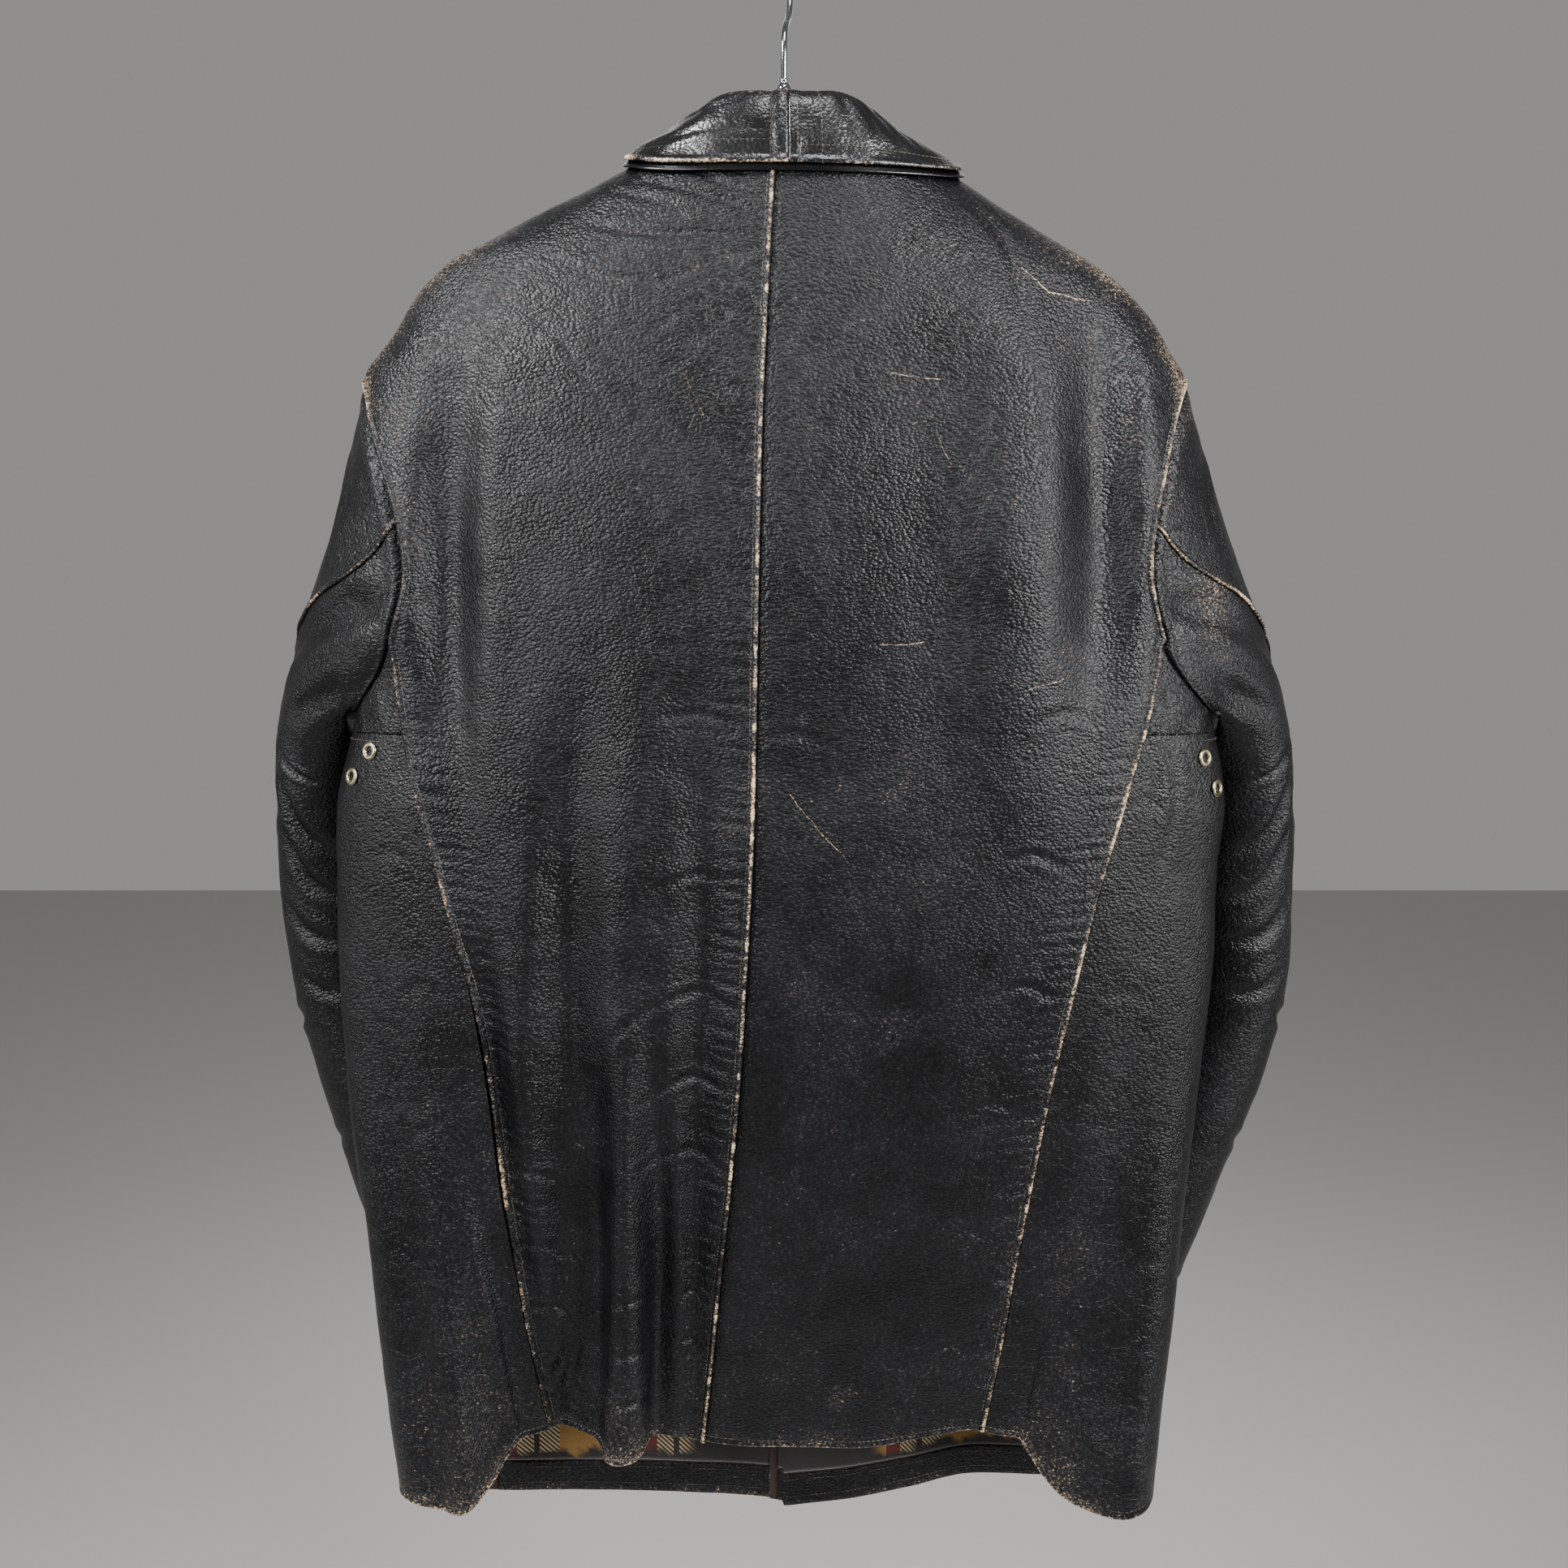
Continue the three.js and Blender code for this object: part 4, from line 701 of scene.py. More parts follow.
for side, hand in SIDES:
    levels = rows_between(GUSSET_FOOT_Z, HEM_Z, SIDE_PITCH[0])
    middle, outward, level_grid, from_back, from_front = panel_grid(
        side_back_angle(side, levels), side_front_angle(side, levels), levels, SIDE_PITCH[1])
    x, z = middle[..., 0], middle[..., 2]
    from_hem = (level_grid - HEM_Z) * HEM_STRETCH["side"]
    relief = drifts(middle, LEATHER / 2 - 0.3, (0.8, 70, 31), (0.35, 24, 35), (0.2, 10, 38))
    relief += hem_roll(from_hem)
    relief += puckers(from_back, -level_grid, 0.25, 72 + side, 9, 0.01, 10)
    relief += LOBE_HEIGHT * smoothstep(-z, 600, 860) * bell(from_back - LOBE_CREST[side], 17)
    for path, half_width, depth in SIDE_CREASES[side]:
        relief += np.where(middle[..., 1] < 0, crease(x, z, path, half_width, depth), 0)
    points = middle + outward * relief[..., None]
    lobe = smoothstep(-z, 870, 985)
    fold_edge = bell(from_back - LOBE_RUB[side], 26)
    wear_and_shade = 0.1 + 0.17 * lobe + SIDE_WEAR[side] * smoothstep(-z, 560, 700)
    wear_and_shade += 0.14 * fold_edge * smoothstep(-z, 700, 800)
    wear_and_shade += 0.55 * bell(from_hem, 1.5) + 0.16 * bell(from_hem, 14)
    crumple = 0.4 + 0.3 * smoothstep(-z, 800, 950)
    panel = cloth_piece(f"side_panel_{hand}", points, outward, wear_and_shade, crumple,
                        np.stack([from_back, level_grid], -1), [body_leather, flesh_side],
                        f"side_{hand}")
    proud = points + outward * THREAD_PROUD
    stitch_paths[f"side_hem_{hand}"] = proud[-1 - STITCH_LINE, 1:-1]
    stitch_paths[f"gusset_foot_{hand}"] = proud[STITCH_LINE, 2:-2]

    def gusset_point(across, down, side=side):
        top = ARM_SIDE_Z - ARMHOLE_DROP * np.sin(np.clip(across, 0, 1) * np.pi) ** ARMHOLE_ROUNDNESS
        level = top + (GUSSET_FOOT_Z - top) * down
        start, end = side_back_angle(side, level), side_front_angle(side, level)
        return ring_point(start + (end - start) * across, level)

    across, down = np.meshgrid(np.linspace(0, 1, 61), np.linspace(0, 1, 19))
    middle = gusset_point(across, down)
    outward = normal_of(gusset_point, np.clip(across, 0.01, 0.99), down, 0.008, 0.02) * -side
    if (outward[9, 30] @ np.array([side, 0, 0])) < 0:
        outward = -outward
    relief = LEATHER / 2 - 0.4 + 0.9 * drift(middle, 20, 80) * smoothstep(down, 0, 0.3)
    relief += 0.4 * np.sin(across * 38 + 5 * down) * smoothstep(down, 0.1, 0.6)
    points = middle + outward * relief[..., None]
    wear_and_shade = 0.16 + 0.25 * bell(1 - down, 0.05)
    uv = np.stack([across * 100, -down * 60], -1)
    gusset = cloth_piece(f"underarm_gusset_{hand}", points, outward, wear_and_shade, 0.8, uv,
                         [body_leather, flesh_side], f"gusset_{hand}")

# Fronts, facings and lining
# The fronts close with the left one over the right. Their hem is faced inside with leather, held by two
# rows of stitches, and above it a strip of the twilled plaid wool lining shows under the back hem.
FRONT_PITCH = (4.4, 5.6)
STRIP_PITCH = 4.0
UNDERLAP = 11
OVERLAP = 17
LAP_START = 75
LAP_END = 25
LAP_LIFT = LEATHER + 2 * SEAM_GAP
FACING = 1.0
FACING_LEVELS = (-930, -944)
LINING_LEVELS = (-866, -929)


def past_centre_angle(side, distance, level):
    """Ring angle at a distance past the centre front, or short of it when that is negative."""
    z = ring_point(180, level)[..., 2]
    reach = left_reach(z) if side * distance > 0 else right_reach(z)
    return side * (180 + np.degrees(np.arcsin(distance / reach)))


def lap_lift(side, x):
    return LAP_LIFT * smoothstep(x, -LAP_START, -LAP_END) if side < 0 else 0 * x


def front_rows(side, levels, pitch, edge, inset=0):
    far = past_centre_angle(side, (OVERLAP if side < 0 else UNDERLAP) - inset, levels)
    return panel_grid(edge, far, levels, pitch)


# Twilled plaid wool: a mustard ground with bands of cream and black and a red overcheck. Each band is
# laid by the threads, so the diagonal of the twill shows where light and dark threads cross. The twill is
# drawn coarser than real, so that it shows.
TWILL_MM = 3.4
CHECK_MM = 98.0
# Where a check starts on each side, across the back from the middle, in millimetres.
CHECK_START = {-1: -188.7, 1: 83.0}
FUZZ_MM = 1.2
FUZZ_HEIGHT = 0.6 * MM
plaid, weave, wool_shader = new_material("twilled_plaid_wool")[:3]
plaid_uv = add_node(weave, "ShaderNodeUVMap", uv_map="UVMap").outputs["UV"]
split = add_node(weave, "ShaderNodeSeparateXYZ", {0: plaid_uv})


def thread_band(start, end):
    """1 where the share of the check across the lining lies between start and end."""
    share = calculate(weave, "FRACT", calculate(weave, "MULTIPLY", split.outputs["X"], 1000 / CHECK_MM))
    above = calculate(weave, "GREATER_THAN", share, start)
    return calculate(weave, "MULTIPLY", above, calculate(weave, "LESS_THAN", share, end))


diagonal = calculate(weave, "ADD", split.outputs["X"], split.outputs["Y"])
twill = calculate(weave, "FRACT", calculate(weave, "MULTIPLY", diagonal, 1000 / TWILL_MM))
twill = calculate(weave, "GREATER_THAN", twill, 0.5)
fuzz = noise_node(weave, plaid_uv, FUZZ_MM, 3.0)
banded = mix_colours(weave, fuzz, "#5d4319", "#957136")
cream_black = mix_colours(weave, twill, "#120e0b", "#a8946e")
for start, end, colour in ((0.0, 0.3, cream_black), (0.9, 1.0, "#4d120e"), (0.12, 0.16, "#140f0b")):
    banded = mix_colours(weave, thread_band(start, end), banded, colour)
# Painted shade: the wool is mixed to near black where the attribute read here is high, in the middle and
# along its uneven foot, as the shade inside the coat under the back hem.
painted_shade = add_node(weave, "ShaderNodeAttribute", attribute_name="wear_and_shade").outputs["Fac"]
connect(weave, wool_shader, {"Base Color": mix_colours(weave, painted_shade, banded, "#0b0908"), "Roughness": 0.95,
                             "Normal": bump_node(weave, fuzz, FUZZ_HEIGHT, 0.6), "Sheen Weight": 0.25})

FRONT_CREASES = [([(60, -420), (110, -440), (160, -430)], 6, 0.9),
                 ([(80, -560), (130, -540), (180, -556)], 6, 0.8),
                 ([(40, -700), (90, -716), (150, -700)], 6, 0.8),
                 ([(120, -820), (140, -880), (136, -940)], 7, 1.2),
                 ([(60, -860), (70, -920), (66, -980)], 6, 1.0)]
for side, hand in SIDES:
    levels = rows_between(NECK_Z, HEM_Z, FRONT_PITCH[0])
    middle, outward, level_grid, from_edge, from_front = front_rows(
        side, levels, FRONT_PITCH[1], panel_edge_angle(side, levels, False))
    x, z = middle[..., 0], middle[..., 2]
    from_hem = (level_grid - HEM_Z) * HEM_STRETCH["front"]
    relief = drifts(middle, LEATHER / 2 + lap_lift(side, x), (0.9, 90, 51), (0.35, 28, 55))
    relief += np.where(z < ARM_TOP_Z, seam_roll(from_edge, 1.2), 0)
    relief += puckers(from_edge, -level_grid, 0.5 * smoothstep(-z, 400, 520), 90 + side, 9, 0.01, 16)
    relief += 0.4 * bell(from_front, 3) - 0.8 * bell(from_front, 0.6)
    relief += 0.4 * bell(from_hem, 3.5) - 0.8 * bell(from_hem, 0.6)
    for path, half_width, depth in FRONT_CREASES:
        relief += crease(side * x, z, path, half_width, depth) * (1 - smoothstep(-from_front, -30, -10))
    points = middle + outward * relief[..., None]
    shoulder = smoothstep(np.abs(x), 110, 225) * (1 - smoothstep(-z, 250, 345))
    wear_and_shade = 0.1 + 0.4 * shoulder * bell(from_edge, 26) + 0.5 * bell(from_front, 1.6)
    wear_and_shade += 0.55 * bell(from_hem, 1.8) + 0.14 * bell(from_hem, 20)
    wear_and_shade += np.where(z < ARM_TOP_Z, 0.6, 0) * bell(from_edge - 1.3, 1.5, 4)
    front = cloth_piece(f"front_panel_{hand}", points, outward, wear_and_shade, 0.3,
                        np.stack([from_edge, level_grid], -1), [body_leather, flesh_side],
                        f"front_{hand}")
    proud = points + outward * THREAD_PROUD
    stitch_paths[f"front_edge_{hand}"] = proud[2:-2, -1 - STITCH_LINE]
    stitch_paths[f"front_hem_{hand}"] = proud[-1 - STITCH_LINE, 2:-2]
    stitch_paths[f"side_front_{hand}"] = proud[levels < SEWN_BELOW][:, STITCH_LINE]

    lift = -(LEATHER / 2 + 2 * SEAM_GAP + FACING / 2)
    for kind, (top, foot), slot, materials, cut in (
            ("facing", FACING_LEVELS, "worn_leather", [body_leather], (0.31, 0.03, 0.0045)),
            ("lining", LINING_LEVELS, "plaid_wool", [plaid], (0.33, 0.10, 0.0193))):
        levels = np.linspace(top, foot, 12 if kind == "facing" else 40)
        middle, outward, level_grid, from_edge, from_front = front_rows(
            side, levels, STRIP_PITCH, side_front_angle(side, levels), OVERLAP * 0.4)
        inward = lift + lap_lift(side, middle[..., 0]) + 0.5 * drift(middle, 20, 66)
        points = middle + outward * (inward - FACING / 2)[..., None]
        wear_and_shade = 0.25 + 0.3 * bell(level_grid - foot, 3)
        if kind == "lining":
            # Painted shade: the lining is near black in the middle and in an uneven band along its foot,
            # and keeps its colours only beside the middle above that band.
            shade_reach = 3 + 5 * drift(middle, 7, 68)
            beside = smoothstep(np.abs(middle[..., 0]), 62, 72)
            wear_and_shade = 1 - 0.9 * beside * smoothstep(level_grid - foot - shade_reach, 0, 3)
        uv = np.stack([middle[..., 0] - CHECK_START[side], middle[..., 2]], -1)
        strip = cloth_piece(f"{kind}_strip_{hand}", points, -outward, wear_and_shade, 0.5, uv, materials,
                            f"{kind}_{hand}", FACING * 0.8)
        if kind == "facing":
            inner = points - outward * 0.1
            stitch_paths[f"facing_top_{hand}"] = inner[2, 2:-2]
            stitch_paths[f"facing_low_{hand}"] = inner[-4, 2:-2]

# Sleeves
# Each sleeve is cut in two, an upper and an under piece, and curves forward at the elbow. The upper
# piece laps over the under one at the back seam, and creases gather inside the elbow and under the arm.
SLEEVE_TURN_Z = -520
CUFF_Z = -872
SLEEVE_TURN = np.radians(24)
RIM_POINTS = 16
OUTWARD_AT_TOP = 0.04
OUTWARD_UNDER = 0.84
HANG_OUT = 0.02
HANG_FORWARD = 0.15
sleeve_x = curve_through((-520, 293), (-570, 296), (-640, 295), (-710, 285), (-780, 268), (-872, 244))
sleeve_y = curve_through((-520, 68), (-570, 78), (-640, 86), (-710, 91), (-780, 93), (-872, 92))
sleeve_long = curve_through((-520, 66), (-570, 64), (-640, 62), (-780, 58), (-872, 54))
sleeve_short = curve_through((-520, 39), (-570, 44), (-640, 45), (-780, 42), (-872, 38))
right_elbow_out = curve_through((-520, 1), (-600, 4), (-660, 9), (-720, 9), (-800, 4), (-872, 0))
back_seam_at = curve_through((0, 3), (0.12, 3.1), (0.26, 2.85), (0.4, 2.25), (0.6, 1.4), (0.8, 0.4),
                             (1, -0.4), (2, -1.5))
front_seam_at = curve_through((0, 12), (0.5, 10.8), (1, 9.4), (2, 8.6))
RIM_LEVELS = np.array([-259, -285, -315, -350, -385, -420])


def armhole_rim(side, k):
    """Points of the armhole's rim: from the top down the back, under the arm and up the front."""
    k = np.mod(k, RIM_POINTS)
    down_back = np.interp(k, range(6), RIM_LEVELS)
    up_front = np.interp(k, range(11, 17), RIM_LEVELS[::-1])
    share = np.clip((k - 5) / 6, 0, 1)
    under = ARM_SIDE_Z - ARMHOLE_DROP * np.sin(share * np.pi) ** ARMHOLE_ROUNDNESS
    level = np.where(k <= 5, down_back, np.where(k >= 11, up_front, under))
    start, end = side_back_angle(side, level), side_front_angle(side, level)
    angle = np.where(k <= 5, panel_edge_angle(side, level - 1e-6, True),
                     np.where(k >= 11, panel_edge_angle(side, level - 1e-6, False),
                              start + (end - start) * share))
    return ring_point(angle, level)


def sleeve_oval(side, k, z):
    t = 2 * np.pi * k / RIM_POINTS
    outward, backward = np.cos(t) * sleeve_short(z), np.sin(t) * sleeve_long(z)
    elbow = right_elbow_out(z) if side > 0 else 0
    x = sleeve_x(z) + elbow + outward * np.cos(SLEEVE_TURN) + backward * np.sin(SLEEVE_TURN)
    y = sleeve_y(z) + outward * np.sin(SLEEVE_TURN) - backward * np.cos(SLEEVE_TURN)
    return np.stack([side * x, y, z + 0 * x], -1)


def sleeve_surface(side):
    def surface(k, w):
        k, w = np.broadcast_arrays(np.asarray(k, float), np.asarray(w, float))
        low = sleeve_oval(side, k, SLEEVE_TURN_Z + np.clip(w - 1, 0, None) * (CUFF_Z - SLEEVE_TURN_Z))
        start, end = armhole_rim(side, k), sleeve_oval(side, k, SLEEVE_TURN_Z + 0 * k)
        way = end - start
        reach = np.linalg.norm(way, axis=-1, keepdims=True)
        under = (1 - np.cos(2 * np.pi * k / RIM_POINTS)) / 2
        share = (OUTWARD_AT_TOP + (OUTWARD_UNDER - OUTWARD_AT_TOP) * under)[..., None]
        leaving = way / reach * (1 - share) + np.array([side, 0, 0]) * share
        leaving /= np.linalg.norm(leaving, axis=-1, keepdims=True)
        t = w[..., None]
        bend = (start * (2 * t ** 3 - 3 * t ** 2 + 1) + leaving * (t ** 3 - 2 * t ** 2 + t) * reach
                + end * (3 * t ** 2 - 2 * t ** 3)
                + np.array([HANG_OUT * side, HANG_FORWARD, -1]) * (t ** 3 - t ** 2) * reach)
        return np.where(t >= 1, low, bend)
    return surface


# Creases of the sleeves, as (rim place x 20 mm, way down x 350 mm): the elbow's inside, then under the arm.
SLEEVE_CREASES = [
    ([(60, 330), (84, 372), (110, 392)], 4.5, 2.0), ([(66, 372), (90, 410), (118, 424)], 4.0, 1.8),
    ([(58, 420), (86, 446), (116, 452)], 4.5, 1.6), ([(64, 470), (90, 486), (114, 486)], 4.0, 1.3),
    ([(54, 290), (80, 316), (104, 330)], 4.0, 1.4), ([(20, 500), (44, 512), (66, 500)], 4.5, 1.1),
    ([(16, 350), (36, 372), (52, 360)], 4.5, 0.9), ([(84, 30), (76, 80), (66, 130), (52, 200)], 6.0, 2.2),
    ([(106, 110), (94, 180), (76, 250)], 7.0, 1.8), ([(72, 60), (64, 96), (56, 130)], 4.5, 1.2),
    ([(60, 120), (46, 180), (34, 240)], 6.0, 1.4), ([(130, 330), (150, 360), (168, 352)], 5.0, 1.2),
    ([(128, 400), (150, 420), (170, 410)], 5.0, 1.2), ([(250, 70), (270, 120), (290, 150)], 5.0, 0.9),
    ([(20, 590), (50, 600), (76, 590)], 4.5, 0.7), ([(210, 420), (240, 440), (262, 420)], 6.0, 0.8),
    ([(-10, 120), (14, 160), (30, 210)], 5.5, 0.8), ([(6, 50), (26, 76), (40, 120)], 5.0, 1.0),
]
SLEEVE_PITCH = 4.2
# The right sleeve is rubbed more than the left.
SLEEVE_WEAR = {-1: 0.1, 1: 0.17}
SLEEVE_SEAM_WEAR = {-1: 0.4, 1: 0.55}
ELBOW_WEAR = {-1: 0.14, 1: 0.3}
K_MM = 20
W_MM = 350
sleeve_rows = np.unique(np.concatenate([[0, 0.004, 0.01, 0.02, 0.03], np.linspace(0.04, 1.96, 170),
                                        2 - EDGE_LINES[::-1] / W_MM]))
for side, hand in SIDES:
    surface = sleeve_surface(side)
    for upper in (True, False):
        start = front_seam_at(sleeve_rows) if upper else back_seam_at(sleeve_rows)
        end = back_seam_at(sleeve_rows) + RIM_POINTS if upper else front_seam_at(sleeve_rows)
        k, from_start, from_end = spread(surface, start, end, sleeve_rows, SLEEVE_PITCH)
        w = np.repeat(sleeve_rows[:, None], k.shape[1], axis=1)
        middle = surface(k, w)
        outward = normal_of(surface, k, np.maximum(w, 0.012), 0.08, 0.01) * side
        from_rim = w * W_MM
        from_cuff = (2 - w) * W_MM
        place = np.mod(k + 2, RIM_POINTS) * K_MM - 2 * K_MM
        relief = drifts(middle, LEATHER / 2, (1.1, 60, 101), (0.5, 22, 105), (0.2, 9, 109))
        relief *= smoothstep(from_rim, 0, 14)
        relief -= 1.2 * (1 - smoothstep(from_rim, 0, 9))
        relief += 0.9 * bell(from_rim - 12, 7)
        if upper:
            relief += seam_roll(from_end, 1.2) + seam_roll(from_start, 1.0)
        else:
            relief -= 0.3 * bell(from_start, 3) + 0.3 * bell(from_end, 3)
        relief += puckers(from_end if upper else from_start, from_rim, 0.35, 120 + side, 8, 0.01, 14)
        relief += 0.4 * bell(from_cuff, 3) - 0.8 * bell(from_cuff, 0.6)
        for path, half_width, depth in SLEEVE_CREASES:
            relief += crease(place, from_rim, path, half_width, 1.9 * depth)
        points = middle + outward * relief[..., None]
        wear_and_shade = SLEEVE_WEAR[side] + 0.55 * bell(from_cuff, 1.8) + 0.18 * bell(from_cuff, 18)
        tone = SLEEVE_SEAM_WEAR[side] + 0.7 * drift_along(from_rim, 40, 130 + side)
        if upper:
            wear_and_shade += tone * (bell(from_end - 0.9, 1.1, 4) + 0.5 * bell(from_start - 0.9, 1.0, 4))
            wear_and_shade += 0.12 * np.exp(-from_end / 14)
        wear_and_shade += 0.34 * bell(from_rim - 12, 9) * (0.6 + 0.4 * np.cos(2 * np.pi * k / RIM_POINTS))
        elbow = bell(from_rim - 470, 120) * np.exp(-(np.mod(k + 6, 16) - 6) ** 2 / 9)
        wear_and_shade += ELBOW_WEAR[side] * elbow
        if side > 0 and not upper:
            wear_and_shade += 0.46 * bell(from_rim - 92, 40) * bell(k - 3.2, 1.4)
        name = "upper" if upper else "under"
        crumple = 0.3 + 0.5 * elbow + 0.7 * bell(from_rim, 110)
        sleeve = cloth_piece(f"{name}_sleeve_{hand}", points, outward, wear_and_shade, crumple,
                             np.stack([from_start, -from_rim], -1), [body_leather, flesh_side],
                             f"sleeve_{name}_{hand}")
        proud = points + outward * THREAD_PROUD
        if upper:
            stitch_paths[f"sleeve_back_{hand}"] = proud[8:-2, -1 - STITCH_LINE]
            stitch_paths[f"sleeve_front_{hand}"] = proud[8:-2, STITCH_LINE]
        stitch_paths[f"cuff_{name}_{hand}"] = proud[-1 - STITCH_LINE, 1:-1]

# Collar
# Two leaves of cowhide meet at a seam behind the neck, stand up from the neckline and roll over onto the
# shoulders. The rim is worn to bare tan hide, and the glossy under collar shows below it.
COLLAR_END = 172
COLLAR_SEAM = 1
COLLAR_FALL = 2 / 3
ROLL = 4.5
UNDER_COLLAR = 1.4
STAND_LIFT = LEATHER / 2 + 2 * SEAM_GAP
COLLAR_BOW = 1.5
COLLAR_CLEARANCE = LEATHER + UNDER_COLLAR + 2 * SEAM_GAP + 1.4
stand_height = curve_through((0, 31), (15, 29.5), (25, 25.5), (36, 18), (60, 10), (90, 9.5), (115, 13),
                             (140, 19), (172, 19))
stand_inset = curve_through((0, 0), (90, 0.3), (120, 1.6), (150, 2.4), (172, 2.2))
stand_lean = curve_through((0, 4), (90, 9), (172, 5))
edge_angle = curve_through((0, 0), (45, 43), (90, 90), (135, 138), (150, 153), (165, 162), (172, 166))
left_edge = curve_through((0, -147), (36, -146), (60, -141), (90, -134), (120, -147), (135, -165),
                          (150, -198), (160, -226), (172, -238))
right_edge = curve_through((0, -147), (36, -148), (60, -147), (90, -140), (120, -150), (135, -168),
                           (150, -200), (160, -226), (172, -238))


def collar_sections(angle):
    """The seven points of the collar's section at each angle, from its foot to its rim."""
    side = np.where(angle < 0, -1, 1)
    a = np.abs(angle)
    foot = ring_point(angle, NECK_Z + 0 * angle)
    lap = np.where((side < 0) & (a > 90), LAP_LIFT * smoothstep(foot[..., 0], -LAP_START, -LAP_END), 0)
    foot = foot + normal_of(ring_point, angle, NECK_Z + 0 * angle) * lap[..., None]
    out = unit(foot * np.array([1, 1, 0]))
    up = np.array([0, 0, 1])
    base = foot + up * STAND_LIFT - out * stand_inset(a)[..., None]
    shoulder = base + up * (stand_height(a) - ROLL)[..., None] - out * stand_lean(a)[..., None]
    rim_z = np.where(side < 0, left_edge(a), right_edge(a))
    rim_angle = side * edge_angle(a)
    line = neckline(rim_angle)
    level = np.where(rim_z > ARM_TOP_Z, NECK_Z + (rim_z - line) * (ARM_TOP_Z - NECK_Z) / (ARM_TOP_Z - line),
                     rim_z)
    clearance = COLLAR_CLEARANCE + np.where(side < 0, LAP_LIFT, SEAM_GAP) * smoothstep(a, 100, 140)
    rim = ring_point(rim_angle, level) + normal_of(ring_point, rim_angle, level) * clearance[..., None]
    crest = shoulder + (up + out) * ROLL
    after = shoulder + out * 2 * ROLL
    bow = (after + rim) / 2 + (out + up) * COLLAR_BOW
    return np.stack([base, (base + shoulder) / 2, shoulder, crest, after, bow, rim], -2)


def collar_surface(angle, v):
    """Centripetal Catmull-Rom curve through the section's points."""
    angle, v = np.broadcast_arrays(np.asarray(angle, float), np.asarray(v, float))
    section = collar_sections(angle)
    first = 2 * section[..., :1, :] - section[..., 1:2, :]
    last = 2 * section[..., -1:, :] - section[..., -2:-1, :]
    section = np.concatenate([first, section, last], axis=-2)
    place = np.clip(v, 0, 1) * 6
    i = np.minimum(place.astype(int), 5)
    t = (place - i)[..., None]
    p = [np.take_along_axis(section, (i + n)[..., None, None], axis=-2)[..., 0, :] for n in range(4)]
    d = [np.sqrt(np.linalg.norm(p[n + 1] - p[n], axis=-1, keepdims=True)) for n in range(3)]
    t1 = ((p[1] - p[0]) / d[0] - (p[2] - p[0]) / (d[0] + d[1]) + (p[2] - p[1]) / d[1]) * d[1]
    t2 = ((p[2] - p[1]) / d[1] - (p[3] - p[1]) / (d[1] + d[2]) + (p[3] - p[2]) / d[2]) * d[1]
    return (p[1] + t1 * t + (-3 * p[1] + 3 * p[2] - 2 * t1 - t2) * t ** 2
            + (2 * p[1] - 2 * p[2] + t1 + t2) * t ** 3)


V_STEP = 0.004
COLLAR_COLUMNS = 120
SEAM_DEGREE_MM = 0.95
POINT_DEGREE_MM = 1.4
RIM_STITCH = 9.5
SEAM_STITCH = {-1: 4.2, 1: 8.0}
CLOSE_STITCH = 2.4
SEAM_ROLL = {-1: 0.9, 1: 0.4}
COLLAR_SEWN = slice(18, -1)


def collar_outward(angle, v):
    inside = np.clip(v, V_STEP, 1 - V_STEP)
    along_v = collar_surface(angle, inside + V_STEP) - collar_surface(angle, inside - V_STEP)
    along_a = collar_surface(angle + 0.6, inside) - collar_surface(angle - 0.6, inside)
    return unit(np.cross(along_v, along_a))


collar_leather = leather_material("polished_cowhide_collar", roughness=0.28, grain=0.2, shine=0.5)
